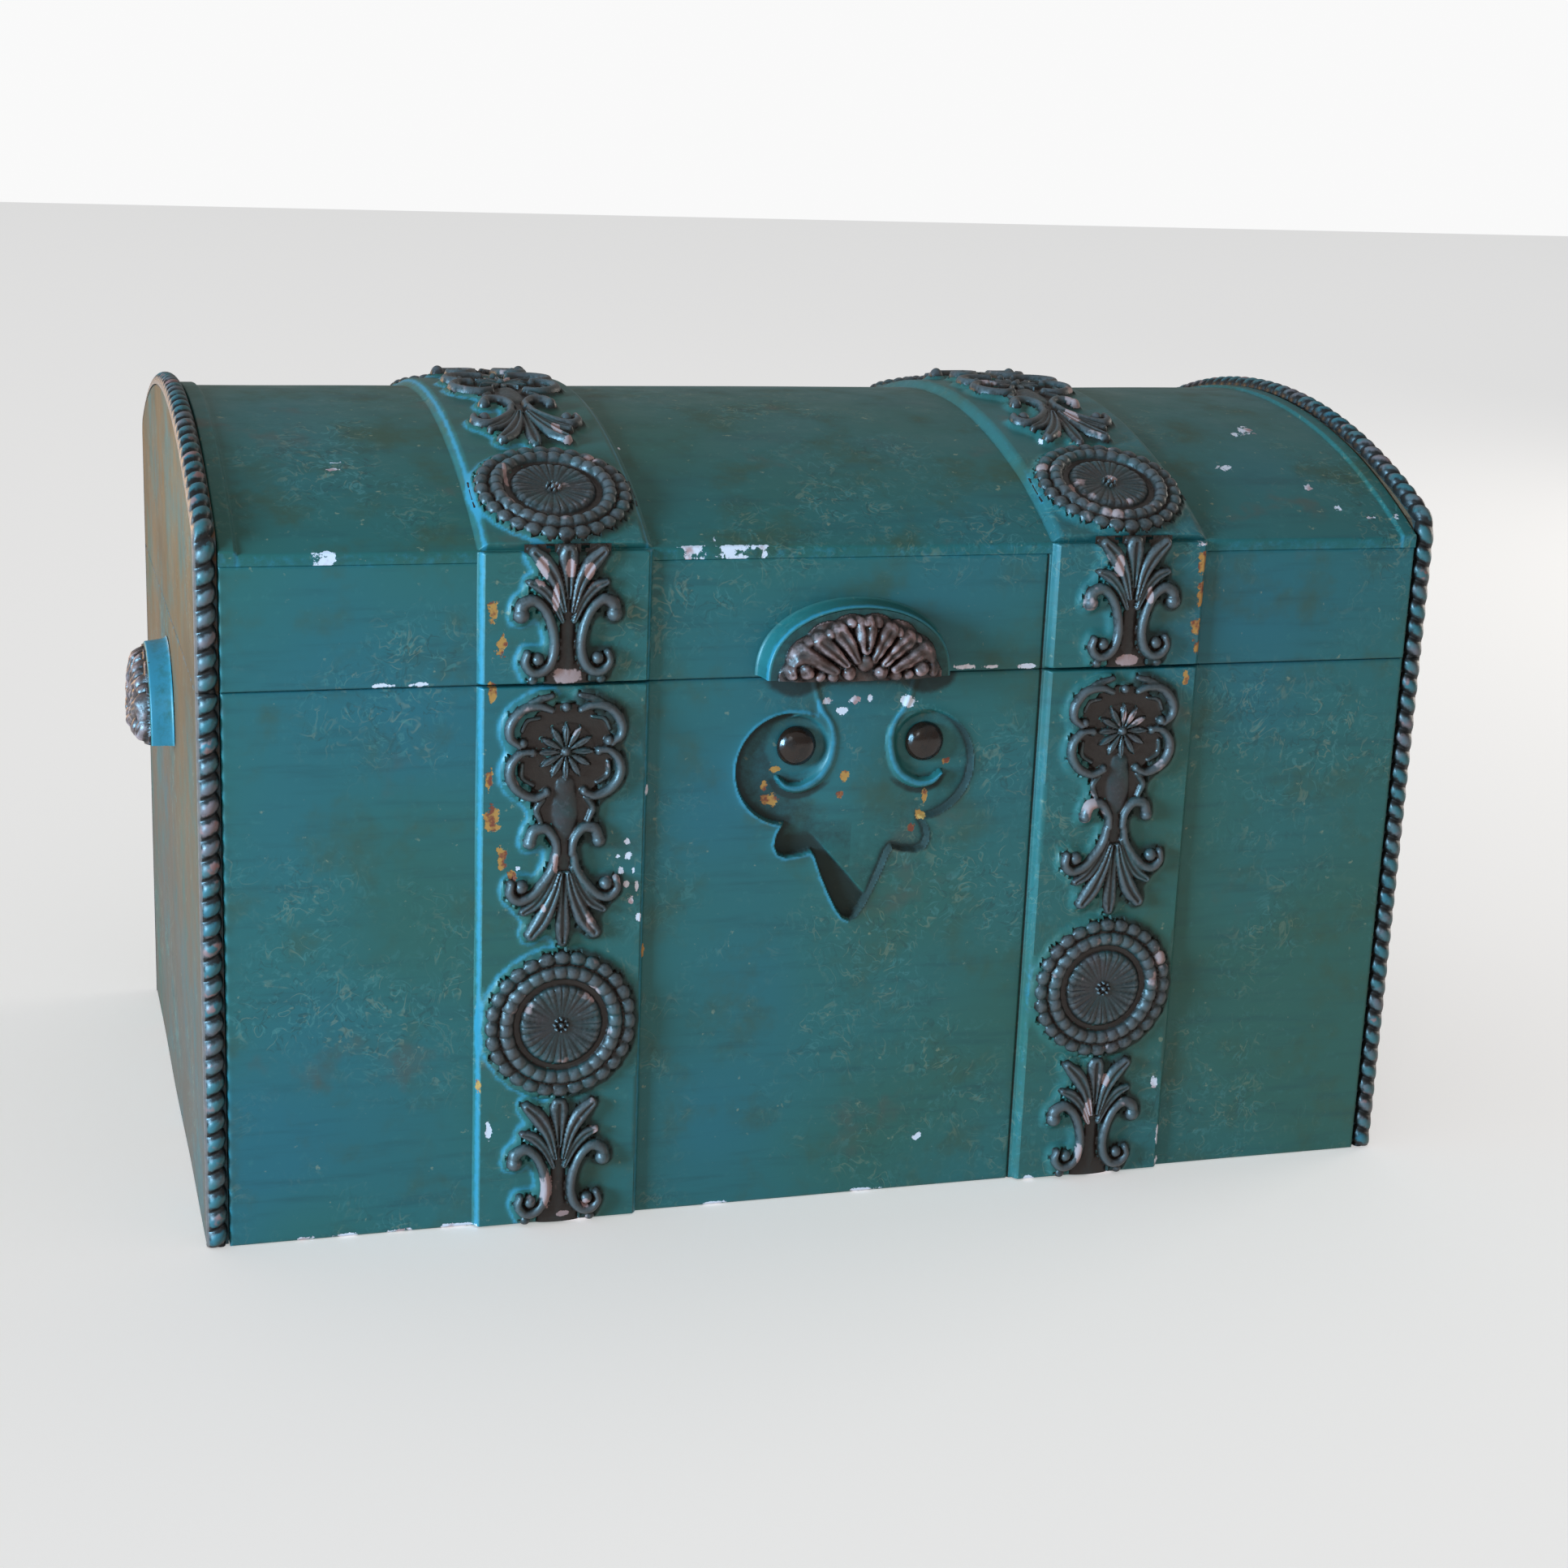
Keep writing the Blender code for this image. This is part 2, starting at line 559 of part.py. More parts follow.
def add_hinges(brass, steel, hinge_line):
    half, middle = HINGE_L / 2, HINGE_LID_KNUCKLE / 2
    outer = ((-half, -middle - GAP), (middle + GAP, half))
    inner = ((-middle, middle),)
    body_holes, lid_holes = [], []
    for side, x in (("left", -HINGE_X), ("right", HINGE_X)):
        hinge_leaf(f"{side}_hinge_body_leaf", x, -1, outer, inner, brass)
        hinge_leaf(f"{side}_hinge_lid_leaf", x, 1, inner, outer, brass, hinge_line)
        rod(f"{side}_hinge_pin", (x - half - MM, HINGE_Y, PARTING), (x + half + MM, HINGE_Y, PARTING), PIN_R, steel)
        for index, way in ((1, -1), (2, 1)):
            sx = x + way * SCREW_X
            add_screw(f"{side}_hinge_body_screw_{index}", sx, PARTING - SCREW_DROP, brass)
            add_screw(f"{side}_hinge_lid_screw_{index}", sx, PARTING + SCREW_DROP, brass, hinge_line)
            body_holes.append((sx, PARTING - SCREW_DROP))
            lid_holes.append((sx, PARTING + SCREW_DROP))
    drill("back_panel", body_holes, brass)
    drill("lid_back_rail", lid_holes, brass)


# ---------------------------------------------------------------- the chest

def build():
    for obj in list(bpy.data.objects):
        bpy.data.objects.remove(obj)
    teal = material("teal paint", (0.030, 0.190, 0.205), 0.5)
    strap_teal = material("strap paint", (0.030, 0.170, 0.185), 0.5)
    dark = material("dark glazed casting", (0.045, 0.050, 0.050), 0.35)
    bronze = material("brown bronze casting", (0.110, 0.055, 0.035), 0.35)
    nail = material("dark polished nail", (0.045, 0.022, 0.014), 0.15, 0.4)
    brass = material("aged brass", (0.34, 0.24, 0.10), 0.4, 1.0)
    steel = material("steel pin", (0.40, 0.40, 0.40), 0.35, 1.0)
    bare = material("bare wood", (0.36, 0.23, 0.13), 0.7)

    hinge_line = bpy.data.objects.new("lid_hinge_line", None)
    hinge_line.location = (0, HINGE_Y, PARTING)
    bpy.context.scene.collection.objects.link(hinge_line)

    add_body(teal, bare)
    add_lid(teal, hinge_line)
    add_mouldings(teal, hinge_line)
    add_straps(strap_teal, hinge_line)
    add_castings(dark, hinge_line)
    add_pulls(teal, bronze, hinge_line)
    carve_escutcheon(teal)
    add_studs(nail)
    add_hinges(brass, steel, hinge_line)


build()
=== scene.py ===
import json
import math

import bpy
import numpy as np
from mathutils import Matrix, Vector

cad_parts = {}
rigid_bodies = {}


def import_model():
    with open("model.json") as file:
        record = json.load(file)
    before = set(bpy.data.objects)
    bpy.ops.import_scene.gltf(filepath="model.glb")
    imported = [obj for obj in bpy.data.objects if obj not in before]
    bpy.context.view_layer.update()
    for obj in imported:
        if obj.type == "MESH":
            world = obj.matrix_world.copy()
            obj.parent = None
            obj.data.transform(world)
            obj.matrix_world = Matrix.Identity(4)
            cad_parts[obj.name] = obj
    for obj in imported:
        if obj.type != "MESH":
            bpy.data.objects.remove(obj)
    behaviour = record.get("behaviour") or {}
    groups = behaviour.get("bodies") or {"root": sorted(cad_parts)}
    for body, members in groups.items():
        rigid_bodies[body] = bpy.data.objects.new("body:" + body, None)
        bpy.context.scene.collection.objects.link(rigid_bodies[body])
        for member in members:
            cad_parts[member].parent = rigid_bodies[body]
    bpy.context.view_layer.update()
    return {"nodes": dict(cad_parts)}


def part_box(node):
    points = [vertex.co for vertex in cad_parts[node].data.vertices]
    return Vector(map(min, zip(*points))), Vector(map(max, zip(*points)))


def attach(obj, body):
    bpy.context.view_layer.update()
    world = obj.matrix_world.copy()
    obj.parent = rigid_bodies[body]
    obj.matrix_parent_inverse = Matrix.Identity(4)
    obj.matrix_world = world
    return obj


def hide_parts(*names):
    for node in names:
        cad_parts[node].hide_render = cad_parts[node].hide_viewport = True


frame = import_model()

# Looks of a small domed-lid treasure chest: hand-painted teal boards, rope mouldings, dark cast
# ornaments on straps, brown shell pulls, a carved escutcheon and two domed nails.
# Metres, +Z up, front face at -Y. Reliefs are height fields worked out in millimetres.

MM = 0.001


def cad(node):
    low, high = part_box(node)
    return np.array(low), np.array(high)


# ---------------------------------------------------------------- sizes read from the frame

HALF_D = -cad("front_panel")[0][1]
BODY_TOP = cad("front_panel")[1][2]
PANEL_INNER = -cad("front_panel")[1][1]
BOARD_T = HALF_D - PANEL_INNER
INNER_X = cad("front_panel")[1][0]
HALF_W = cad("right_end_panel")[1][0]
END_T = HALF_W - cad("right_end_panel")[0][0]
END_EDGE = cad("right_end_panel")[1][1]
LID_FOOT = BODY_TOP + 0.1 * MM      # below the CAD lid's foot, so that no light shows through the seam
CREASE = cad("lid_left_rail_strap")[1][2]
DOME_TOP = cad("lid_dome_panel")[1][2]
MOULD_X = abs(cad("right_front_bead_moulding")[0][0])
MOULD_RISE = -cad("right_front_bead_moulding")[0][1] - END_EDGE
CREST_TOP = cad("lid_right_bead_moulding")[1][2]
STRAP_LOW, STRAP_HIGH = cad("body_right_strap")
STRAP_X = (STRAP_LOW[0] + STRAP_HIGH[0]) / 2
STRAP_HALF = (STRAP_HIGH[0] - STRAP_LOW[0]) / 2
STRAP_TOP = -STRAP_LOW[1] - HALF_D
ESCUTCHEON_X = 3.5 * MM             # the carving sits a little right of the middle
LEFT_STUD, RIGHT_STUD = ((cad(f"{side}_stud")[0] + cad(f"{side}_stud")[1]) / 2 for side in ("left", "right"))

JOINT_X = STRAP_X - STRAP_HALF - 1.0 * MM    # joint in the front boards, beside the right strap
JOINT_ZONE = (JOINT_X - 1.2 * MM, JOINT_X + 1.2 * MM, 0.3 * MM)
JOINT_DEPTH = 0.8 * MM
DOME_T = 3.6 * MM
DOME_RISE = DOME_TOP - CREASE
DOME_R = (HALF_D ** 2 + DOME_RISE ** 2) / (2 * DOME_RISE)
DOME_CENTRE = DOME_TOP - DOME_R
DOME_ANGLE = math.asin(HALF_D / DOME_R)
DOME_LENGTH = 2 * DOME_ANGLE * DOME_R
CREST_R = 328 * MM
CREST_CORNER_R = 14 * MM


# ---------------------------------------------------------------- places on the chest

def at(x, y, z):
    return np.stack(np.broadcast_arrays(x, y, z), -1)


def on_front(u, v, h):
    return at(u, -HALF_D - h, v)


def on_back(u, v, h):
    return at(-u, HALF_D + h, v)


def on_left(u, v, h):
    return at(-HALF_W - h, -u, v)


def on_right(u, v, h):
    return at(HALF_W + h, u, v)


def on_dome(u, s, h):
    turn = s / DOME_R - DOME_ANGLE
    return at(u, (DOME_R + h) * np.sin(turn), DOME_CENTRE + (DOME_R + h) * np.cos(turn))


# ---------------------------------------------------------------- meshes from arrays

CAST_STEP = 0.42                    # grid of the castings, in mm
SUNK = 0.45                         # how far a casting's outline dips into its strap, in mm
BLOCK = 4                           # cells of that grid along one side of a block


def signed_volume(points, faces):
    total = 0.0
    for face in faces:
        face = np.asarray(face)
        if face.ndim == 1:
            face = face[None]
        a = points[face[:, 0]]
        for k in range(1, face.shape[1] - 1):
            total += np.einsum("ij,ij->i", a, np.cross(points[face[:, k]], points[face[:, k + 1]])).sum()
    return total / 6


def make(name, points, faces, finishes, back_faces=(), values=None, sharp=40):
    """A mesh object. faces and back_faces are arrays of faces with equal corner counts, or single faces.

    back_faces take the second finish. values are numbers at the points, by name.
    """
    groups = [np.atleast_2d(np.asarray(f, int)) for f in faces]
    rear = [np.atleast_2d(np.asarray(f, int)) for f in back_faces]
    points = np.asarray(points, float)
    if signed_volume(points, groups + rear) < 0:
        groups = [g[:, ::-1] for g in groups]
        rear = [g[:, ::-1] for g in rear]
    everything = groups + rear
    corners = np.concatenate([g.ravel() for g in everything])
    totals = np.concatenate([np.full(len(g), g.shape[1]) for g in everything])
    starts = np.concatenate([[0], np.cumsum(totals)[:-1]])
    finish = np.concatenate([np.zeros(sum(len(g) for g in groups), int),
                             np.ones(sum(len(g) for g in rear), int)])
    mesh = bpy.data.meshes.new(name)
    mesh.vertices.add(len(points))
    mesh.vertices.foreach_set("co", points.ravel())
    mesh.loops.add(len(corners))
    mesh.loops.foreach_set("vertex_index", corners.astype(np.int32))
    mesh.polygons.add(len(totals))
    mesh.polygons.foreach_set("loop_start", starts.astype(np.int32))
    mesh.polygons.foreach_set("loop_total", totals.astype(np.int32))
    for made in finishes:
        mesh.materials.append(made)
    mesh.polygons.foreach_set("material_index", np.minimum(finish, len(finishes) - 1).astype(np.int32))
    mesh.update(calc_edges=True)
    mesh.validate()
    for key, numbers in (values or {}).items():
        layer = mesh.attributes.new(key, "FLOAT", "POINT")
        layer.data.foreach_set("value", np.asarray(numbers, np.float32).ravel())
    mesh.shade_smooth()
    mesh.set_sharp_from_angle(angle=math.radians(sharp))
    obj = bpy.data.objects.new(name, mesh)
    bpy.context.scene.collection.objects.link(obj)
    return obj


def stand_for(obj, body, slot, *nodes):
    """obj rides on a body and replaces those CAD nodes. slot is not used."""
    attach(obj, body)
    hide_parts(*nodes)
    return obj


def lines(low, high, step, zones=(), rim=3 * MM):
    """Grid lines from low to high, closer together at both ends and in each zone (from, to, step)."""
    inset = rim * np.array([0, 0.06, 0.14, 0.25, 0.4, 0.65, 1.0])
    found = [low + inset, high - inset]
    cursor = low + rim
    for start, end, fine in (*sorted(zones), (high - rim, high - rim, step)):
        start, end = max(start, low + rim), min(end, high - rim)
        if start > cursor:
            found.append(np.linspace(cursor, start, max(2, int(round((start - cursor) / step)) + 1)))
        if end > start:
            found.append(np.linspace(start, end, max(2, int(round((end - start) / fine)) + 1)))
        cursor = max(cursor, end)
    every = np.sort(np.concatenate(found))
    keep = np.concatenate([[True], np.diff(every) > 0.02 * MM])
    return every[keep]


def edge_distance(us, vs):
    """Distance of every grid point from the nearest of the grid's four edges."""
    du = np.minimum(us - us[0], us[-1] - us)[:, None]
    dv = np.minimum(vs - vs[0], vs[-1] - vs)[None, :]
    return np.minimum(du, dv)


def round_over(inset, radius):
    """Drop of a face at a distance from its edge, where that edge is rounded to a radius."""
    near = np.clip(radius - inset, 0, radius)
    return radius - np.sqrt(radius ** 2 - near ** 2)


def joint(u):
    """1 along the joint in the front boards, 0 away from it."""
    return np.exp(-((u - JOINT_X) / (0.55 * MM)) ** 2)


def rounded_rim(us, vs, radius):
    """Drop of a board's face near its four edges."""
    return round_over(edge_distance(us, vs), radius)


def waves(u, v, size, amount, seed):
    """Slow unevenness of a hand-made surface."""
    rng = np.random.default_rng(seed)
    total = np.zeros(np.broadcast(u, v).shape)
    for _ in range(9):
        angle, phase, scale = rng.uniform(0, 2 * math.pi), rng.uniform(0, 2 * math.pi), rng.uniform(0.6, 1.8)
        total += np.sin((u * math.cos(angle) + v * math.sin(angle)) * 2 * math.pi / (size * scale) + phase)
    return total * amount / 4


def mesh_grid(us, vs):
    return np.meshgrid(us, vs, indexing="ij")


def grid_quads(index):
    """The four corners of every cell of a grid of point numbers."""
    return np.stack([index[:-1, :-1], index[1:, :-1], index[1:, 1:], index[:-1, 1:]], -1)


def board(name, us, vs, top, thickness, place, finishes, values, across=True):
    """A board whose face is a grid at height top, with walls and a back of plain strips.

    The strips of the back run across v, or across u on a board that curves along v.
    """
    nu, nv = len(us), len(vs)
    grid_u, grid_v = mesh_grid(us, vs)
    face = place(grid_u, grid_v, top).reshape(-1, 3)
    index = np.arange(nu * nv).reshape(nu, nv)
    rim = np.concatenate([index[:, 0], index[-1, 1:], index[-2::-1, -1], index[0, -2:0:-1]])
    rim_u, rim_v = grid_u.ravel()[rim], grid_v.ravel()[rim]
    back = place(rim_u, rim_v, np.full(len(rim), -thickness))
    points = np.concatenate([face, back])
    count = len(rim)
    behind = nu * nv + np.arange(count)
    quads = grid_quads(index).reshape(-1, 4)
    step = np.roll(np.arange(count), -1)
    walls = np.stack([rim, behind, behind[step], rim[step]], -1)
    low, right = behind[:nu], behind[nu - 1:nu + nv - 1]
    top_row, left = behind[nu + nv - 2:2 * nu + nv - 2][::-1], behind[np.r_[0, count - 1:2 * nu + nv - 4:-1]]
    if across:
        strips = np.stack([low[1:-2], top_row[1:-2], top_row[2:-1], low[2:-1]], -1)
        first = np.concatenate([left, [top_row[1], low[1]]])
        last = np.concatenate([[low[-2], top_row[-2]], right[::-1]])
    else:
        strips = np.stack([left[1:-2], left[2:-1], right[2:-1], right[1:-2]], -1)
        first = np.concatenate([[left[1], right[1]], low[::-1]])
        last = np.concatenate([[right[-2], left[-2]], top_row])
    full = {}
    for key, numbers in values.items():
        numbers = np.broadcast_to(numbers, (nu, nv)).ravel()
        full[key] = np.concatenate([numbers, numbers[rim]])
    return make(name, points, [quads, walls], finishes, [strips, first, last], full)


def relief(name, height, us, vs, place, finish, values):
    """A closed casting over a height field, kept in blocks of cells where it stands above its floor."""
    floor = -SUNK * MM
    cells_u, cells_v = (len(us) - 1) // BLOCK, (len(vs) - 1) // BLOCK
    kept = np.zeros((cells_u, cells_v), bool)
    for a in range(BLOCK + 1):
        for b in range(BLOCK + 1):
            sample = height[a:a + BLOCK * (cells_u - 1) + 1:BLOCK, b:b + BLOCK * (cells_v - 1) + 1:BLOCK]
            kept |= sample > floor + 0.01 * MM
    # Blocks that would touch at a corner only are joined by a third.
    while True:
        corner_a = kept[:-1, :-1] & kept[1:, 1:] & ~kept[1:, :-1] & ~kept[:-1, 1:]
        corner_b = kept[1:, :-1] & kept[:-1, 1:] & ~kept[:-1, :-1] & ~kept[1:, 1:]
        if not (corner_a | corner_b).any():
            break
        kept[1:, :-1] |= corner_a
        kept[:-1, :-1] |= corner_b
    cells = np.kron(kept, np.ones((BLOCK, BLOCK), bool))
    grid_u, grid_v = mesh_grid(us, vs)
    used = np.zeros(grid_u.shape, bool)
    for a in (0, 1):
        for b in (0, 1):
            used[a:a + cells.shape[0], b:b + cells.shape[1]] |= cells
    index = np.full(grid_u.shape, -1)
    index[used] = np.arange(used.sum())
    quads = grid_quads(index)[cells]
    coarse = np.zeros((cells_u + 1, cells_v + 1), bool)
    for a in (0, 1):
        for b in (0, 1):
            coarse[a:a + cells_u, b:b + cells_v] |= kept
    below = np.full(coarse.shape, -1)
    below[coarse] = used.sum() + np.arange(coarse.sum())
    under = np.stack([below[:-1, :-1], below[:-1, 1:], below[1:, 1:], below[1:, :-1]], -1)[kept]
    padded = np.pad(kept, 1)
    walls = []
    for i, j in zip(*np.nonzero(kept)):
        run = np.arange(BLOCK + 1)
        i0, j0 = i * BLOCK, j * BLOCK
        if not padded[i, j + 1]:
            walls.append([*index[i0, j0 + run], below[i, j + 1], below[i, j]])
        if not padded[i + 2, j + 1]:
            walls.append([*index[i0 + BLOCK, j0 + run[::-1]], below[i + 1, j], below[i + 1, j + 1]])
        if not padded[i + 1, j]:
            walls.append([*index[i0 + run[::-1], j0], below[i, j], below[i + 1, j]])
        if not padded[i + 1, j + 2]:
            walls.append([*index[i0 + run, j0 + BLOCK], below[i + 1, j + 1], below[i, j + 1]])
    front = place(grid_u, grid_v, height)[used]
    rear = place(grid_u[::BLOCK, ::BLOCK], grid_v[::BLOCK, ::BLOCK],
                 np.full(coarse.shape, floor - 0.3 * MM))[coarse]
    full = {}
    for key, numbers in values.items():
        full[key] = np.concatenate([numbers[used], numbers[::BLOCK, ::BLOCK][coarse]])
    return make(name, np.concatenate([front, rear]), [quads, under, np.array(walls)], (finish,),
                values=full, sharp=60)


# ---------------------------------------------------------------- carving height fields, in millimetres

CURVE_STEPS = 6                     # short straight lines between two points of a curve


def smooth_line(points):
    """Catmull-Rom curve through rows of numbers."""
    rows = np.asarray(points, float)
    rows = np.vstack([2 * rows[0] - rows[1], rows, 2 * rows[-1] - rows[-2]])
    found = []
    for p0, p1, p2, p3 in zip(rows, rows[1:], rows[2:], rows[3:]):
        for t in np.arange(CURVE_STEPS) / CURVE_STEPS:
            found.append(0.5 * (2 * p1 + (p2 - p0) * t + (2 * p0 - 5 * p1 + 4 * p2 - p3) * t ** 2
                                + (3 * p1 - p0 - 3 * p2 + p3) * t ** 3))
    found.append(rows[-2])
    return np.array(found)


def along(x, y, points):
    """Distance over half width, and half width, of the nearest place on a line of (x, y, half width)."""
    line = smooth_line(points)
    best = np.full(x.shape, 1e9)
    ratio = np.full(x.shape, 9.0)
    half = np.ones(x.shape)
    for (x0, y0, r0), (x1, y1, r1) in zip(line, line[1:]):
        dx, dy = x1 - x0, y1 - y0
        t = np.clip(((x - x0) * dx + (y - y0) * dy) / max(dx * dx + dy * dy, 1e-9), 0, 1)
        radius = np.maximum(r0 + (r1 - r0) * t, 0.2)
        distance = np.hypot(x - x0 - t * dx, y - y0 - t * dy)
        near = distance - radius < best
        best = np.where(near, distance - radius, best)
        ratio = np.where(near, distance / radius, ratio)
        half = np.where(near, radius, half)
    return ratio, half


FALL = 2.6                          # steepness of the ground beyond a ridge, a ball or a web


def ridge(x, y, points, crest, vein=0.0, fall=FALL):
    """Height of a rounded ridge along a line, with an optional groove down its middle."""
    ratio, half = along(x, y, points)
    inside = crest * np.sqrt(np.clip(1 - ratio ** 2, 0, 1)) - vein * np.exp(-(ratio / 0.26) ** 2)
    return np.where(ratio < 1, inside, -(ratio - 1) * half * fall)


def ball(x, y, cx, cy, radius, crest):
    ratio = np.hypot(x - cx, y - cy) / radius
    return np.where(ratio < 1, crest * np.sqrt(np.clip(1 - ratio ** 2, 0, 1)), -(ratio - 1) * radius * FALL)


def blend_max(a, b, softness=0.35):
    """Larger of two heights, with a small fillet where they meet."""
    h = np.clip(0.5 + 0.5 * (a - b) / softness, 0, 1)
    return b + (a - b) * h + softness * h * (1 - h)


def blurred(field, passes):
    for _ in range(passes):
        padded = np.pad(field, 1, mode="edge")
        field = (padded[:-2, 1:-1] + padded[2:, 1:-1] + padded[1:-1, :-2] + padded[1:-1, 2:]
                 + 2 * field) / 6
    return field


def carve(x, y, parts):
    """Height of a casting made of ridges and balls, mirrored about x = 0."""
    field = np.full(x.shape, -9.0)
    side = np.abs(x)
    for kind, shape, *numbers in parts:
        if kind == "ridge":
            made = ridge(side, y, shape, *numbers)
        else:
            made = ball(side, y, *shape, *numbers)
        field = blend_max(field, made)
    return field


# Each row: kind, its line of (across, along, half width) or its centre and radius, crest, groove.
# Rows that stand alone on the centre line are mirrored onto themselves.
PALMETTE = (
    ("ridge", ((0, 0.5, 9), (0, 4.5, 5.5), (0, 9, 3.6), (0, 22, 3.2), (0, 34, 3.4)), 1.9),
    ("ridge", ((0, 33, 1.4), (0, 41, 3.2), (0, 47, 4.4), (0, 50, 3.6)), 4.0, 1.3),
    ("ridge", ((1.6, 28, 1.3), (4.3, 38, 2.9), (8.2, 45, 3.7), (13, 50, 2.4)), 4.6, 1.2),
    ("ridge", ((2.2, 24, 1.2), (5.6, 31.5, 2.4), (10, 36.6, 2.7), (14.4, 38.6, 1.7)), 4.0, 0.9),
    ("ridge", ((17.9, 26.6, 3.1), (17.0, 30.4, 2.9), (13.0, 31.9, 2.6), (8.9, 28.6, 2.4), (6.2, 22.5, 2.3),
               (5.0, 15, 2.3), (6.2, 8.8, 2.4), (9.4, 5.0, 2.4), (13.4, 4.8, 2.3), (16.0, 8.2, 2.1),
               (15.3, 11.8, 1.7)), 4.4),
    ("ball", (17.7, 26.4, 3.4), 5.3),
    ("ball", (11.4, 9.6, 2.9), 4.8),
    ("ball", (13.0, 1.6, 2.3), 3.0),
)

INVERTED = (
    ("ridge", ((0, 44, 5.2), (0, 37, 4.4), (0, 28, 4.6)), 2.0),
    ("ridge", ((0, 31, 1.4), (0, 20, 2.8), (0, 9, 3.6), (0, 3.2, 2.3)), 3.6, 1.1),
    ("ridge", ((1.6, 31, 1.4), (3.8, 22.5, 2.8), (7.9, 13, 3.9), (12.4, 6.8, 2.9)), 4.6, 1.3),
    ("ridge", ((3.2, 33, 1.4), (6.2, 25.8, 2.4), (10.6, 19.4, 2.9), (15.6, 16, 1.9)), 4.0, 1.1),
    ("ridge", ((3.6, 38.5, 2.0), (4.8, 32.5, 2.2), (8.3, 27, 2.4), (12.6, 22.4, 2.5), (17.4, 20.8, 2.5),
               (20.6, 23.6, 2.3), (20.4, 27.6, 1.9)), 4.3),
    ("ball", (16.5, 26.2, 3.1), 4.9),
    ("ridge", ((2.9, 39, 1.9), (3.6, 44.4, 2.2), (7.0, 48.8, 2.4), (11.6, 48.4, 2.7),
               (13.4, 44.2, 2.7)), 4.5),
    ("ball", (13.4, 43.6, 2.9), 4.9),
)

FLOWER_Y = 79.1
QUATREFOIL = (
    ("ridge", ((0, 68, 12), (0, 61, 13), (0, 54, 10.4), (0, 46, 7.0)), 1.6),
    ("ridge", ((0, 66, 4.6), (0, 56, 6.0), (0, 48, 5.0)), 3.0),
    ("ridge", ((8.5, 60.5, 1.6), (10.9, 56.5, 1.7), (9.2, 51.6, 1.4)), 2.9),
    ("ridge", ((5.6, 95.4, 1.5), (10.4, 97.0, 2.0), (16.6, 95.8, 2.2), (21.0, 90.6, 2.3), (21.3, 85.2, 2.0),
               (17.8, 82.0, 1.7)), 4.3),
    ("ridge", ((12.6, 79.4, 1.5), (17.2, 79.0, 1.9), (20.9, 74.6, 2.2), (21.0, 69.0, 2.4), (17.4, 63.8, 2.2),
               (11.8, 61.4, 2.0), (7.0, 63.2, 1.7)), 4.3),
    ("ridge", ((10.2, 92.4, 1.0), (14.8, 91.4, 1.3), (16.9, 87.4, 1.1)), 2.5),
    ("ridge", ((16.6, 74.6, 1.1), (16.6, 69.4, 1.4), (12.4, 66.4, 1.2)), 2.5),
    ("ball", (16.6, 82.8, 2.3), 4.5),
    ("ball", (12.8, 79.0, 2.1), 4.0),
    ("ball", (7.2, 63.6, 2.0), 4.0),
    ("ball", (0, 96.3, 2.2), 4.0),
    ("ridge", ((5.4, 100.8, 1.4), (9.6, 99.6, 2.0), (13.6, 98.2, 1.6)), 3.0),
)
WEB_REACH = 18.5
PETALS = 12
PETAL_REACH = 11.2


def palmette_height(x, y):
    return carve(x, y, PALMETTE)


def scroll_height(x, y):
    """An upside-down palmette, joined by a neck to a flower inside four C-scrolls."""
    field = blend_max(carve(x, y, INVERTED), carve(x, y, QUATREFOIL))
    radius = np.hypot(x, y - FLOWER_Y)
    turn = np.arctan2(x, y - FLOWER_Y)
    web = np.where(radius < WEB_REACH, 1.3, 1.3 - (radius - WEB_REACH) * FALL)
    field = blend_max(field, web)
    slice_turn = (turn * PETALS / (2 * math.pi) + 0.5) % 1 - 0.5
    reach = radius / PETAL_REACH
    width = np.clip(np.sin(math.pi * np.clip(reach, 0.02, 0.999) ** 0.8), 0.05, 1) * 0.5
    inside = np.clip(1 - (slice_turn / np.maximum(width, 0.05)) ** 2, 0, 1)
    petal = 1.5 + (1.0 + 1.5 * reach) * np.sqrt(inside) - 0.7 * np.exp(-(slice_turn / 0.07) ** 2) * reach
    field = np.where(reach < 1, blend_max(field, petal), field)
    boss = ball(x, y, 0, FLOWER_Y, 2.2, 4.2)
    return blend_max(field, boss)


ROSETTE_BEADS = 28
DAISY_PETALS = 16
DAISY_REACH = 16.8
CENTRE_BEADS = 8


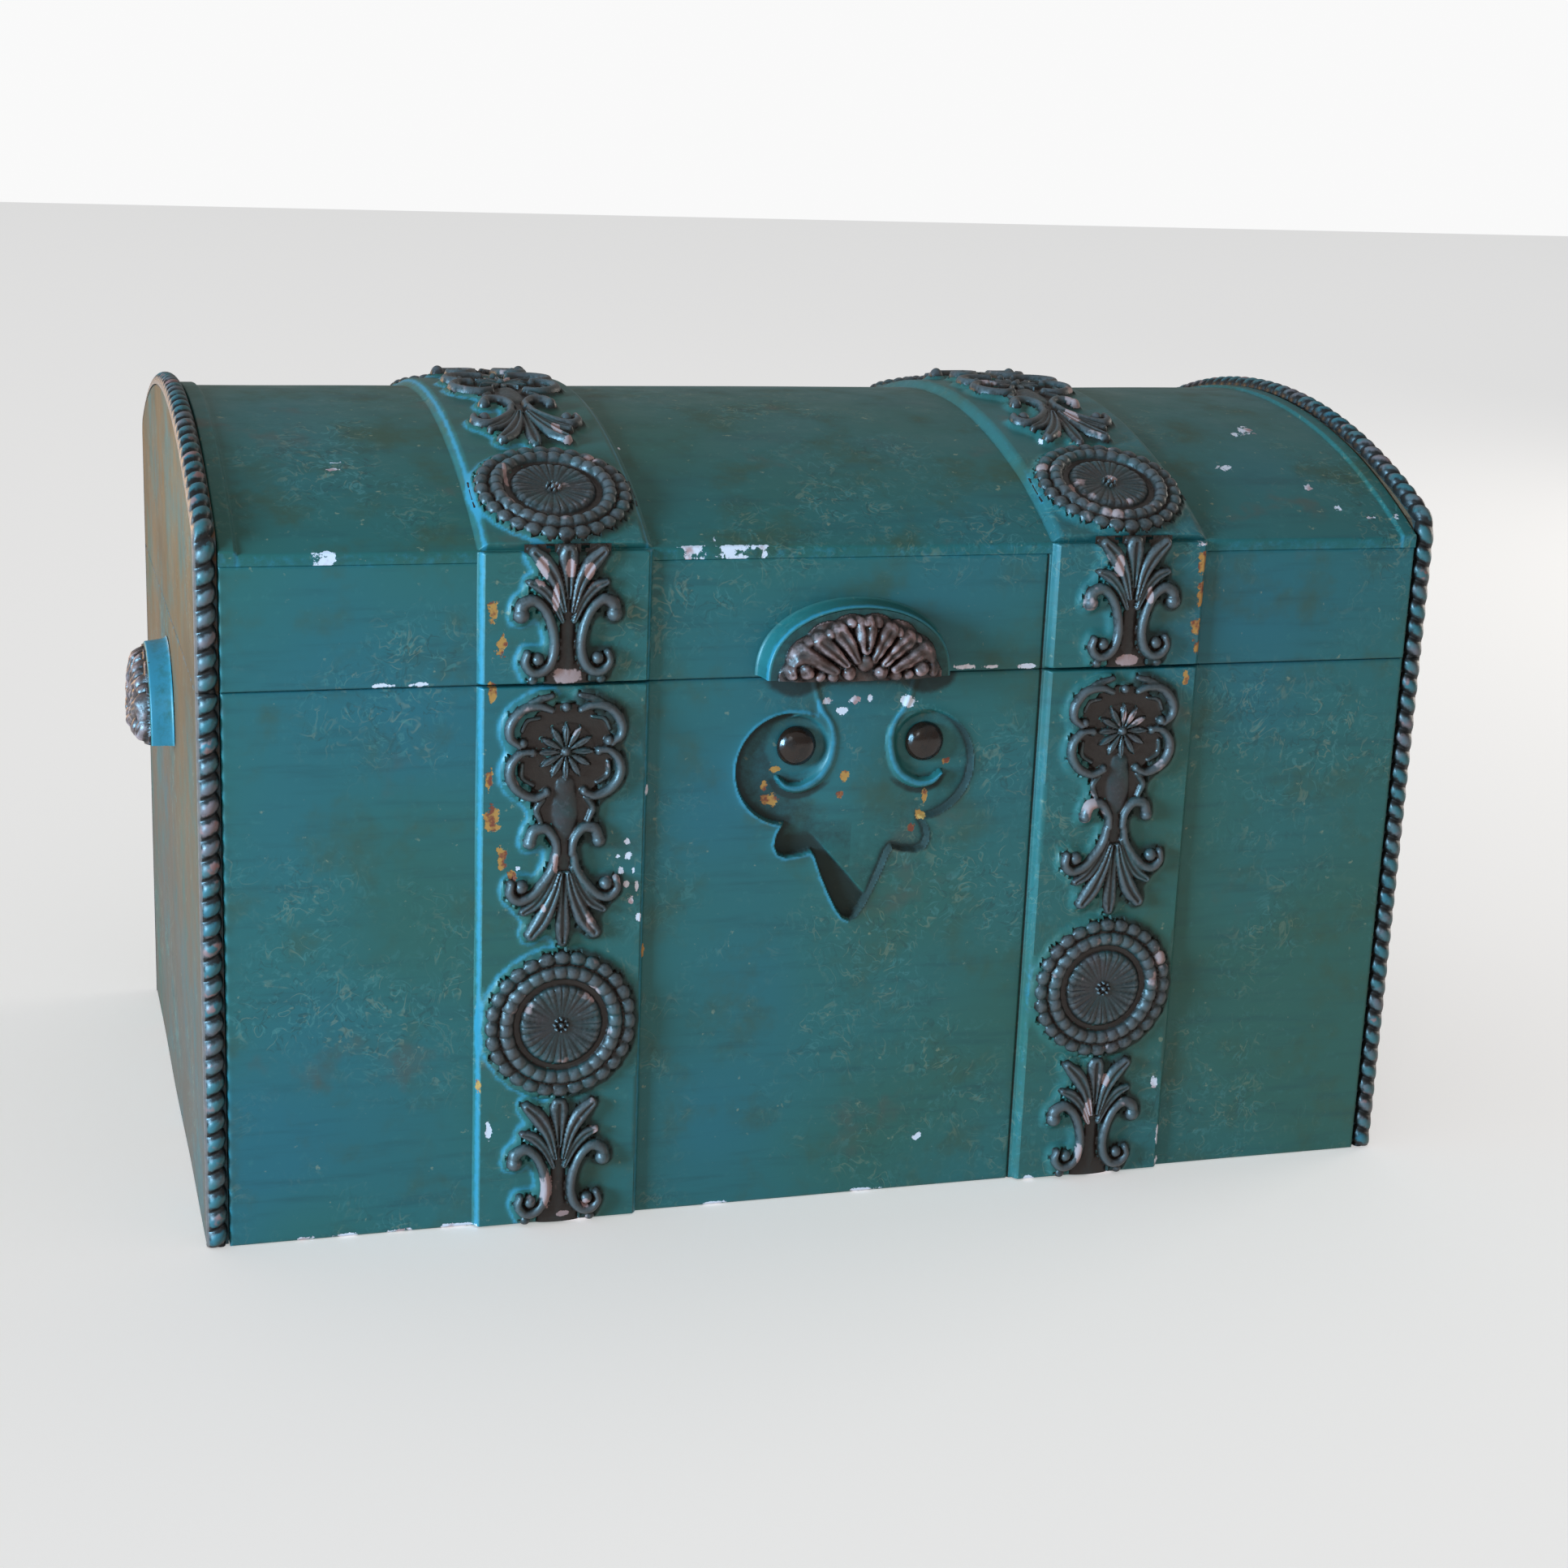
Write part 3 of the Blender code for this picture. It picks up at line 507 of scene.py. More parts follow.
def rosette_height(x, y):
    """Two rings of lobes around a dished daisy."""
    radius = np.hypot(x, y)
    turn = np.arctan2(x, y)
    lobe = np.abs(np.cos(turn * ROSETTE_BEADS / 2))
    inner_lobe = np.abs(np.cos(turn * ROSETTE_BEADS / 2 + 0.5))
    edge = 28.1 + 2.0 * lobe ** 0.7
    outer = 3.9 * np.sqrt(np.clip(1 - ((radius - 27.2) / 3.2) ** 2, 0, 1)) * (0.66 + 0.34 * lobe ** 0.8)
    middle = 4.8 * np.sqrt(np.clip(1 - ((radius - 21.7) / 3.3) ** 2, 0, 1)) * (0.8 + 0.2 * inner_lobe ** 0.8)
    slice_turn = (turn * DAISY_PETALS / (2 * math.pi) + 0.5) % 1 - 0.5
    reach = np.clip(radius / DAISY_REACH, 0, 1)
    swell = np.sqrt(np.clip(1 - (slice_turn / 0.5) ** 2, 0, 1))
    tip = np.sqrt(np.clip(1 - np.clip((radius - 13.4) / 3.3, 0, 1) ** 2, 0, 1))
    daisy = (2.1 + 0.9 * reach + 1.1 * reach * swell - 0.55 * reach * np.exp(-(slice_turn / 0.06) ** 2)) * tip
    field = np.maximum(1.5 + 0 * radius, np.maximum(outer, middle))
    field = np.maximum(field, np.where(radius < DAISY_REACH, daisy, 0))
    for k in range(CENTRE_BEADS):
        angle = 2 * math.pi * k / CENTRE_BEADS
        field = blend_max(field, ball(x, y, 2.5 * math.cos(angle), 2.5 * math.sin(angle), 1.05, 4.0), 0.2)
    field = blend_max(field, ball(x, y, 0, 0, 1.5, 4.4), 0.2)
    return np.where(radius < edge, field, field - (radius - edge) * 3.4)


# Shell of a pull, drawn at the half width and height given below; each shell is stretched to its own.
SHELL = (
    ("ridge", ((0, 13, 2.6), (0, 18.5, 4.6), (0, 22.6, 4.2)), 5.4, 2.0),
    ("ridge", ((3.4, 8.6, 1.8), (6.6, 14.6, 3.0), (10.0, 19.4, 3.8)), 4.6, 1.0),
    ("ridge", ((7.6, 7.0, 1.8), (12.6, 11.6, 3.0), (17.6, 15.6, 4.0)), 4.4, 1.2),
    ("ridge", ((12.0, 4.4, 2.0), (18.0, 7.8, 3.2), (24.4, 11.0, 4.2), (29.0, 7.6, 3.4),
               (28.4, 3.0, 2.4)), 4.6, 0.8),
    ("ball", (23.0, 4.4, 3.4), 5.0),
    ("ball", (0, 23.0, 2.2), 6.0),
    ("ball", (0, 7.4, 3.6), 4.4),
    ("ball", (6.4, 3.6, 3.0), 4.4),
    ("ball", (12.6, 2.4, 2.6), 3.6),
    ("ball", (17.6, 2.4, 2.3), 3.4),
    ("ball", (13.8, 18.6, 2.2), 3.6),
    ("ball", (21.6, 15.4, 2.2), 3.4),
    ("ball", (5.4, 22.6, 2.2), 3.6),
)
SHELL_HALF = 33.0
SHELL_HIGH = 26.0


def shell_height(x, y, deepest):
    """A domed fan of veined lobes with curled ends, cut off square at its foot."""
    reach = np.hypot(x / SHELL_HALF, y / SHELL_HIGH)
    turn = np.arctan2(y, np.abs(x))
    scallop = 0.955 + 0.045 * np.abs(np.cos(turn * 7.0))
    swell = np.clip(1 - (reach / scallop) ** 2.6, 0, 1) ** 0.55
    lobes = np.clip(carve(x, y, SHELL), 0, 9)
    body = (deepest - 4.0) * swell
    lumps = 0.6 * np.sin(x * 0.62 + 1.3) * np.sin(y * 0.8 + 0.3 * x)
    field = body + (lobes * 0.8 + lumps) * np.clip(swell * 2.2, 0, 1)
    return np.where(reach < scallop, np.maximum(field, 0.9), -(reach - scallop) * 60)


# ---------------------------------------------------------------- materials

def tint(red, green, blue):
    """Linear colour from 0 to 255 display values."""
    found = []
    for part in (red, green, blue):
        part /= 255
        found.append(part / 12.92 if part <= 0.04045 else ((part + 0.055) / 1.055) ** 2.4)
    return (*found, 1.0)


class Recipe:
    """One procedural material. Methods add nodes and return sockets; plain numbers stay plain."""

    def __init__(self, name):
        self.made = bpy.data.materials.new(name)
        self.made.use_nodes = True
        self.tree = self.made.node_tree
        self.shader = self.tree.nodes["Principled BSDF"]
        self.place = self.tree.nodes.new("ShaderNodeTexCoord").outputs["Object"]

    def feed(self, socket, value):
        if isinstance(value, bpy.types.NodeSocket):
            self.tree.links.new(value, socket)
        else:
            socket.default_value = value

    def stretched(self, x, y, z):
        node = self.tree.nodes.new("ShaderNodeMapping")
        node.inputs["Scale"].default_value = (x, y, z)
        self.feed(node.inputs["Vector"], self.place)
        return node.outputs["Vector"]

    def noise(self, scale, detail=3.0, roughness=0.55, vector=None, distortion=0.0):
        node = self.tree.nodes.new("ShaderNodeTexNoise")
        self.feed(node.inputs["Vector"], vector or self.place)
        node.inputs["Scale"].default_value = scale
        node.inputs["Detail"].default_value = detail
        node.inputs["Roughness"].default_value = roughness
        node.inputs["Distortion"].default_value = distortion
        return node.outputs["Fac"]

    def value(self, name):
        node = self.tree.nodes.new("ShaderNodeAttribute")
        node.attribute_name = name
        return node.outputs["Fac"]

    def along_axis(self, axis):
        node = self.tree.nodes.new("ShaderNodeSeparateXYZ")
        self.feed(node.inputs[0], self.place)
        return node.outputs[axis]

    def math(self, operation, a, b=0.0):
        node = self.tree.nodes.new("ShaderNodeMath")
        node.operation = operation
        self.feed(node.inputs[0], a)
        self.feed(node.inputs[1], b)
        return node.outputs[0]

    def plus(self, a, b):
        return self.math("ADD", a, b)

    def times(self, a, b):
        return self.math("MULTIPLY", a, b)

    def spread(self, value, amount):
        """A noise, centred on 0 and widened."""
        return self.times(self.math("SUBTRACT", value, 0.5), amount)

    def step(self, value, low, high, start=0.0, end=1.0):
        """value from low..high to start..end, held at both."""
        node = self.tree.nodes.new("ShaderNodeMapRange")
        node.interpolation_type = "SMOOTHSTEP"
        self.feed(node.inputs["Value"], value)
        for key, number in (("From Min", low), ("From Max", high), ("To Min", start), ("To Max", end)):
            node.inputs[key].default_value = number
        return node.outputs["Result"]

    def ramp(self, value, stops):
        node = self.tree.nodes.new("ShaderNodeValToRGB")
        ramp = node.color_ramp
        while len(ramp.elements) < len(stops):
            ramp.elements.new(0.5)
        for element, (position, colour) in zip(ramp.elements, stops):
            element.position = position
            element.color = colour
        self.feed(node.inputs["Fac"], value)
        return node.outputs["Color"]

    def mix(self, a, b, amount):
        node = self.tree.nodes.new("ShaderNodeMix")
        node.data_type = "RGBA"
        self.feed(node.inputs["Factor"], amount)
        self.feed(node.inputs["A"], a)
        self.feed(node.inputs["B"], b)
        return node.outputs["Result"]

    def bump(self, height, distance, strength):
        node = self.tree.nodes.new("ShaderNodeBump")
        node.inputs["Strength"].default_value = strength
        node.inputs["Distance"].default_value = distance
        self.feed(node.inputs["Height"], height)
        return node.outputs["Normal"]

    def finish(self, colour, roughness, normal, **constants):
        self.feed(self.shader.inputs["Base Color"], colour)
        self.feed(self.shader.inputs["Roughness"], roughness)
        self.feed(self.shader.inputs["Normal"], normal)
        for key, number in constants.items():
            self.shader.inputs[key.replace("_", " ")].default_value = number
        return self.made


BLUE_TEAL = tint(30, 92, 100)
TEAL = tint(34, 92, 90)
GREEN_TEAL = tint(38, 86, 76)
OLIVE = tint(56, 70, 48)
BEIGE = tint(158, 152, 120)
# Dark glaze brown, also used for painted shade.
GLAZE_AND_SHADE = tint(34, 31, 25)
PRIMER = tint(214, 208, 214)
OCHRE = tint(176, 124, 62)
RED_BROWN = tint(122, 60, 42)
PINK = tint(170, 130, 126)
# Light cyan teal for worn edges and painted highlight.
WEAR_AND_HIGHLIGHT_TEAL = tint(50, 124, 144)


def teal_paint(name, greenness=0.5, age=1.0, ochre_and_warm_reflection=0.0, sheen=0.36):
    """Brushed, rubbed and varnished paint. Chips, ochre, dark glaze with painted shade, and wear with painted
    highlight come from the mesh.
    """
    r = Recipe(name)
    broad = r.noise(6.0, 2.0)
    cloud = r.noise(34.0, 4.0, 0.62)
    fine = r.noise(190.0, 4.0, 0.6)
    brushed = r.noise(60.0, 4.0, 0.6, r.stretched(0.35, 1.0, 3.5))
    centre = 0.5 - 0.12 * greenness
    colour = r.ramp(broad, ((centre - 0.12, BLUE_TEAL), (centre + 0.04, TEAL), (centre + 0.2, GREEN_TEAL)))
    colour = r.mix(colour, OLIVE, r.step(cloud, 0.48, 0.74, 0.0, 0.55 * age))
    colour = r.mix(colour, tint(22, 62, 66), r.step(brushed, 0.48, 0.78, 0.0, 0.4))
    colour = r.mix(colour, tint(62, 116, 110), r.step(fine, 0.58, 0.82, 0.0, 0.35))
    colour = r.mix(colour, tint(84, 68, 56), r.step(r.noise(21.0, 4.0, 0.6), 0.6, 0.72, 0.0, 0.4 * age))
    # On the end panels a brown under-colour shows through the teal: partly paint, partly painted warm
    # reflection; it is ochre higher up and grey low, as a painted warm reflection.
    if ochre_and_warm_reflection:
        height = r.along_axis("Z")
        under = r.ramp(r.noise(9.0, 4.0, 0.6), ((0.3, tint(86, 62, 42)), (0.55, tint(108, 72, 44)),
                                                (0.75, tint(114, 84, 58))))
        under = r.mix(tint(92, 76, 66), under, r.step(height, 0.04, 0.24, 0.15, 1.0))
        brown_showing = r.step(r.noise(20.0, 7.0, 0.74), 0.34, 0.56, 0.5, 1.0)
        colour = r.mix(colour, under, r.times(brown_showing, ochre_and_warm_reflection))
    patch = r.step(r.noise(15.0, 4.0, 0.65), 0.44, 0.66)
    for scale, width, tone, strength in ((72.0, 0.036, BEIGE, 0.24), (96.0, 0.045, tint(70, 122, 118), 0.5),
                                         (84.0, 0.04, tint(30, 58, 56), 0.5)):
        vein = r.math("ABSOLUTE", r.math("SUBTRACT", r.noise(scale, 2.0, 0.5, distortion=1.8), 0.5))
        broken = r.step(r.noise(scale * 1.7, 2.0), 0.44, 0.56)
        thread = r.times(r.times(r.step(vein, 0.0, width, 1.0, 0.0), patch), broken)
        colour = r.mix(colour, tone, r.times(thread, strength * age))
    specks = r.step(r.noise(210.0, 3.0, 0.6), 0.66, 0.74, 0.0, 0.34 * age)
    colour = r.mix(colour, BEIGE, specks)
    ragged = r.spread(r.noise(300.0, 5.0, 0.7), 1.5)
    # Lighter cyan teal from the mesh: rubbed edges and painted highlight.
    wear_and_highlight = r.step(r.plus(r.value("wear_and_highlight"), r.times(ragged, 0.7)), 0.3, 0.9)
    colour = r.mix(colour, WEAR_AND_HIGHLIGHT_TEAL, r.times(wear_and_highlight, 0.75))
    # Dark brown from the mesh: glaze and dark joints, with painted shade and shadow.
    glaze_and_shade = r.step(r.plus(r.value("glaze_and_shade"), r.times(ragged, 0.5)), 0.1, 1.0)
    colour = r.mix(colour, GLAZE_AND_SHADE, r.times(glaze_and_shade, 0.85))
    ochre = r.step(r.plus(r.value("ochre"), ragged), 0.54, 0.62)
    colour = r.mix(colour, r.mix(OCHRE, RED_BROWN, r.step(r.noise(240.0), 0.44, 0.6)), ochre)
    chip = r.step(r.plus(r.value("chip"), ragged), 0.56, 0.63)
    colour = r.mix(colour, r.mix(PRIMER, PINK, r.step(r.noise(120.0), 0.5, 0.7)), chip)
    rough = r.step(cloud, 0.2, 0.8, 0.62, 0.74) if ochre_and_warm_reflection else r.step(cloud, 0.2, 0.8, 0.34, 0.5)
    rough = r.plus(rough, r.times(r.math("MAXIMUM", chip, glaze_and_shade), 0.35))
    hollow = r.times(r.plus(chip, ochre), -0.8)
    relief_height = r.plus(r.times(fine, 0.35), r.times(brushed, 0.35))
    relief_height = r.plus(relief_height, hollow)
    normal = r.bump(relief_height, 0.00022, 0.55)
    return r.finish(colour, rough, normal, Specular_IOR_Level=sheen)


def dark_casting(name):
    """Cast ornament under a dark glaze, rubbed to grey, teal and pink on its high places."""
    r = Recipe(name)
    lift, hollow = r.value("lift"), r.value("hollow")
    patch = r.noise(70.0, 4.0, 0.6)
    fine = r.noise(480.0, 4.0, 0.6)
    colour = r.ramp(patch, ((0.32, tint(50, 44, 42)), (0.5, tint(38, 46, 45)), (0.68, tint(54, 48, 48))))
    colour = r.mix(colour, tint(36, 68, 68), r.step(r.noise(52.0, 3.0), 0.48, 0.68, 0.0, 0.75))
    rubbed = r.step(r.plus(lift, r.spread(fine, 1.3)), 0.66, 1.16)
    colour = r.mix(colour, tint(98, 96, 96), r.times(rubbed, 0.45))
    colour = r.mix(colour, tint(40, 27, 20), r.step(hollow, 0.06, 0.55, 0.0, 0.96))
    worn = r.times(r.step(r.noise(46.0, 4.0, 0.6), 0.6, 0.66), r.step(lift, 0.35, 0.7))
    chipped = r.step(r.plus(r.value("chip"), r.spread(fine, 0.5)), 0.46, 0.55)
    worn = r.math("MAXIMUM", worn, chipped)
    colour = r.mix(colour, r.mix(PINK, tint(150, 132, 128), patch), worn)
    rough = r.plus(r.step(fine, 0.3, 0.7, 0.28, 0.46), r.times(worn, 0.25))
    normal = r.bump(r.plus(fine, r.times(patch, 0.8)), 0.0003, 0.6)
    return r.finish(colour, rough, normal, Specular_IOR_Level=0.42)


def brown_shell(name):
    """Coppery brown glaze, black in the hollows and pinkish on the tips."""
    r = Recipe(name)
    lift, hollow = r.value("lift"), r.value("hollow")
    patch = r.noise(90.0, 3.0, 0.6)
    fine = r.noise(520.0, 4.0, 0.6)
    colour = r.ramp(patch, ((0.34, tint(54, 34, 28)), (0.5, tint(74, 52, 46)), (0.68, tint(58, 56, 54))))
    colour = r.mix(colour, tint(26, 17, 14), r.step(hollow, 0.08, 0.6, 0.0, 0.92))
    tips = r.step(r.plus(lift, r.spread(fine, 0.8)), 0.52, 0.95)
    tips = r.times(tips, r.step(r.noise(120.0, 3.0), 0.4, 0.6, 0.2, 0.95))
    colour = r.mix(colour, tint(150, 118, 114), tips)
    normal = r.bump(r.plus(fine, patch), 0.0003, 0.5)
    return r.finish(colour, r.step(fine, 0.3, 0.7, 0.26, 0.44), normal, Specular_IOR_Level=0.45)


def rope_paint(name):
    """Dark-glazed beads with teal tops and a pinkish flat side."""
    r = Recipe(name)
    lift = r.value("lift")
    patch = r.noise(26.0, 4.0, 0.7)
    fine = r.noise(420.0, 4.0, 0.6)
    top = r.ramp(patch, ((0.34, tint(36, 88, 100)), (0.5, tint(52, 92, 94)), (0.6, tint(96, 90, 92)),
                         (0.72, tint(140, 104, 100))))
    ragged = r.spread(fine, 0.8)
    shown = r.step(r.plus(lift, ragged), 0.52, 0.9)
    colour = r.mix(tint(26, 24, 23), top, shown)
    side = r.step(r.plus(r.value("side"), ragged), 0.45, 0.75)
    colour = r.mix(colour, r.mix(tint(84, 72, 68), tint(112, 96, 90), patch), r.times(side, 0.8))
    worn = r.times(r.step(r.noise(85.0, 3.0), 0.6, 0.66), shown)
    colour = r.mix(colour, tint(150, 96, 88), r.times(worn, 0.7))
    normal = r.bump(fine, 0.0002, 0.5)
    return r.finish(colour, r.step(fine, 0.3, 0.7, 0.3, 0.48), normal, Specular_IOR_Level=0.38)


def scaled(colour, share):
    return tuple(share * part for part in colour[:3]) + (1.0,)


def stained_wood(name, dark, light, stretch):
    """Straight-grained board with a thin stain."""
    r = Recipe(name)
    grain = r.noise(26.0, 6.0, 0.65, r.stretched(*stretch), 0.4)
    pores = r.noise(420.0, 3.0, 0.6, r.stretched(*(part ** 0.6 for part in stretch)))
    colour = r.ramp(grain, ((0.3, dark), (0.55, light), (0.75, scaled(light, 0.75))))
    colour = r.mix(colour, scaled(dark, 0.35), r.step(pores, 0.56, 0.7, 0.0, 0.6))
    normal = r.bump(r.plus(grain, r.times(pores, 0.5)), 0.0003, 0.4)
    return r.finish(colour, r.step(grain, 0.3, 0.7, 0.55, 0.75), normal)


def metal(name, clean, tarnish, roughness, spots=0.5, grain=0.4, **constants):
    """Metal with tarnished spots and a fine grain."""
    r = Recipe(name)
    patch = r.noise(180.0, 4.0, 0.65)
    fine = r.noise(1400.0, 3.0)
    amount = r.step(patch, 0.42, 0.66, 0.0, spots)
    colour = r.mix(clean, tarnish, amount)
    rough = r.plus(r.step(fine, 0.3, 0.7, roughness - 0.06, roughness + 0.08), r.times(amount, 0.3))
    return r.finish(colour, rough, r.bump(fine, 0.00008, grain), **constants)


PAINT = teal_paint("teal_paint")
STRAP_PAINT = teal_paint("strap_teal_paint", 0.5, 1.0)
DOME_PAINT = teal_paint("dome_teal_paint", 1.1, 1.3, sheen=0.26)
# The end panels' brown is partly painted warm reflection.
END_PAINT = teal_paint("end_panel_paint", 0.5, 0.8, 0.92, 0.12)
PULL_PAINT = teal_paint("pull_teal_paint", 1.0, 0.5)
CASTING = dark_casting("dark_glazed_casting")
BRONZE = brown_shell("brown_shell_glaze")
ROPE = rope_paint("rope_moulding_paint")
INSIDE, INSIDE_END = (stained_wood(name, tint(58, 40, 28), tint(96, 68, 46), stretch)
                      for name, stretch in (("stained_inside", (1.0, 8.0, 8.0)),
                                            ("stained_inside_end", (8.0, 1.0, 8.0))))
FLOOR_WOOD = stained_wood("bottom_board_wood", tint(84, 60, 40), tint(130, 98, 66), (1.0, 10.0, 10.0))
NAIL = metal("polished_brown_nail", tint(36, 21, 14), tint(18, 12, 9), 0.15, 0.7, 0.06,
             Specular_IOR_Level=0.5)
BRASS = metal("aged_brass", tint(164, 132, 76), tint(70, 54, 34), 0.34, Metallic=1.0)
STEEL = metal("steel_pin", tint(150, 150, 150), tint(90, 84, 78), 0.3, Metallic=1.0)


# ---------------------------------------------------------------- chips, rubbed edges and grime

# Bare primer on the front: across, up, half width, half height, in millimetres.
FRONT_CHIPS = (
    (-57, 273.0, 2.0, 1.7), (-66, 270.8, 5, 0.5), (-50, 270.8, 7, 0.6), (-38, 270.8, 3, 0.4),
    (-9.6, 209.6, 2.0, 1.9), (1.8, 209.4, 2.8, 1.9), (8.1, 209.8, 1.4, 2.0), (-3.1, 205, 3.2, 2.4),
    (24, 208.4, 3.6, 2.6), (46.6, 221.6, 5, 1.2), (58, 221.4, 4, 0.8), (74, 221, 5, 1.2),
    (-182.7, 220.8, 5, 0.9), (-168, 220.8, 4, 1.1), (-88.9, 157.2, 1.4, 1.6), (-92.3, 151.4, 1.0, 1.2),
    (-88.0, 151.2, 1.6, 2.0), (-91.2, 145.6, 1.5, 1.7), (-86.2, 145.2, 1.0, 1.5), (-88.8, 139.6, 1.7, 1.7),
    (-84.6, 139.0, 1.1, 2.2), (-86.8, 133.4, 1.4, 1.9), (-92.6, 138.4, 0.8, 1.0), (-83.4, 127, 1.1, 2.4),
    (-213, 1.0, 4, 1.0), (-196, 0.8, 6, 1.1),
    (-177, 0.8, 5, 1.0), (-154, 0.9, 8, 1.2), (38.1, 22.7, 2.4, 2.0), (142, 40, 1.6, 4.0),
    (145.4, 16, 1.0, 5.0), (146.6, 3.2, 1.4, 2.0), (-203, 270.8, 5, 0.5), (-131.7, 148.6, 1.3, 1.8),
    (144, 269.6, 3, 0.9), (-81.2, 177, 1.2, 2.4), (-141.7, 41, 1.2, 4.5), (88, 1.0, 2.5, 1.3),
    (-48, 0.8, 5, 1.0), (15, 0.9, 7, 1.0), (-106, 0.9, 6, 1.1), (120, 0.8, 6, 1.0), (-30, 219.4, 3, 0.8),
)
# Chips on the dome: across, along from its front crease, half width, half length.
DOME_CHIPS = (
    (201.5, 88.6, 3.6, 5.0), (194, 84, 2.4, 3.4), (206.9, 35.5, 2.4, 3.0), (213.8, 20, 2.2, 2.8),
    (237, 12, 1.5, 1.8), (175.5, 51, 3.6, 3.0), (-193.2, 60.2, 2.4, 1.4), (-193.7, 55, 3.0, 1.2),
    (-78.6, 71, 1.6, 1.6), (226, 14, 2.4, 1.6), (98, 68, 1.2, 2.4),
)
# Rubbed down to an ochre undercoat.
OCHRE_SPOTS = (
    (144.6, 262, 2.2, 6.0), (144.8, 250, 1.8, 6.5), (143.8, 236, 2.4, 5.0), (145.2, 228, 1.6, 3.0),
    (-142.1, 249, 2.2, 4.5), (-138.6, 236, 2.4, 4.0), (-141.8, 218, 1.8, 5.0), (-143, 184, 1.6, 5.0),
    (-141.3, 168.5, 3.4, 5.5), (-138, 153, 2.2, 5.0), (-133.9, 146, 2.2, 2.6), (-0.8, 179.2, 2.0, 2.8),
    (-2.4, 171, 1.5, 2.0), (-28.6, 181.7, 2.6, 1.5), (-30.7, 169.5, 4.2, 2.4), (-33, 175, 1.6, 2.4),
    (42.4, 182.8, 2.0, 1.5), (34, 168.1, 1.6, 3.2), (32, 161.1, 2.4, 2.0), (28.9, 155.5, 1.8, 1.6),
    (-145.6, 60, 1.2, 3.0), (-80.9, 111, 1.0, 3.2), (141, 215, 1.4, 4.0),
)


def spots(points, table, lay):
    """1 in the middle of each spot, a half on its edge and less outside, at every point."""
    found = np.zeros(points.shape[:-1])
    for u, v, half_u, half_v in np.array(table) * MM:
        centre, aside, along_it = (lay(a, b, 0.0) for a, b in ((u, v), (u + MM, v), (u, v + MM)))
        offset = points - centre
        across = np.abs(offset @ (aside - centre)) / (MM * half_u)
        upward = np.abs(offset @ (along_it - centre)) / (MM * half_v)
        outward = np.abs(offset @ np.cross(aside - centre, along_it - centre)) / (MM * MM * 9 * MM)
        found = np.maximum(found, 1 - 0.5 * np.sqrt(across ** 2 + upward ** 2 + outward ** 2))
    return found


def edge_wear(us, vs, reach, amount):
    return amount * np.exp(-edge_distance(us, vs) / reach)


def paint_values(place, us, vs, wear_and_highlight, glaze_and_shade):
    """Numbers that the paint reads, on a grid over a board's face."""
    grid_u, grid_v = mesh_grid(us, vs)
    points = place(grid_u, grid_v, 0 * grid_u)
    return {"chip": np.maximum(spots(points, FRONT_CHIPS, on_front), spots(points, DOME_CHIPS, on_dome)),
            "ochre": spots(points, OCHRE_SPOTS, on_front),
            "wear_and_highlight": wear_and_highlight + 0 * grid_u, "glaze_and_shade": glaze_and_shade + 0 * grid_u}


# ---------------------------------------------------------------- carved escutcheon in the front panel

CARVE = 2.8                         # depth of its floor, in mm
LOWEST = -3.3                       # its deepest place, in mm
CURL_SUNK = 2.6                     # how much lower the curls' feet are than the panel's face, in mm
POCKET_R = 13.4                     # of the pocket round each nail, in mm
CARVED_HALF = 51                    # half width of the carved field, in mm
CARVED_RANGE = (116, 217)           # from its foot to its top, in mm
PULL_SHADE_X = 4.5                  # middle of the painted shadow and dark glaze under the lid's pull, in mm
VOLUTE = (26.5, 182.5, 22.5)        # middle across, up, radius
# Outline of the pendant's right half, carried past the middle; a mirror makes the left half.
PENDANT = ((-20, 119), (0, 119), (2.6, 120.2), (5.4, 124), (8.8, 130.6), (12.4, 138.6), (15.2, 146.2),
           (16.8, 148.4), (21, 147.2), (27, 146.6), (30.6, 148.0), (32.2, 151.6), (31.4, 156), (28, 162),
           (22, 190), (-20, 190))
# Ridge that curls round each nail, from the nail towards the middle and up; its half width.
CURL = ((5.6, 27, 2.2), (7.6, 19.4, 2.1), (9.6, 14.4, 2.1), (12.9, 9.6, 2.1), (14.6, 4.4, 2.3),
        (14.6, -1, 2.4), (13.2, -7, 2.5), (9.4, -12.8, 2.5), (2.6, -16.6, 2.3), (-3.5, -16.2, 1.8),
        (-7.4, -12.8, 1.0))
FOLD = ((-18.4, 157), (8.1, 127.2))  # arris across the pendant, its lower side the deeper


def polygon_distance(x, y, corners):
    """Distance to a closed outline, negative inside."""
    best = np.full(x.shape, 1e9)
    inside = np.zeros(x.shape, bool)
    for (x0, y0), (x1, y1) in zip(corners, np.roll(corners, -1, axis=0)):
        dx, dy = x1 - x0, y1 - y0
        t = np.clip(((x - x0) * dx + (y - y0) * dy) / (dx * dx + dy * dy), 0, 1)
        best = np.minimum(best, np.hypot(x - x0 - t * dx, y - y0 - t * dy))
        crosses = (y0 > y) != (y1 > y)
        with np.errstate(divide="ignore", invalid="ignore"):
            inside ^= crosses & (x < (x1 - x0) * (y - y0) / (y1 - y0) + x0)
    return np.where(inside, -best, best)


def ease(value):
    value = np.clip(value, 0, 1)
    return value * value * (3 - 2 * value)


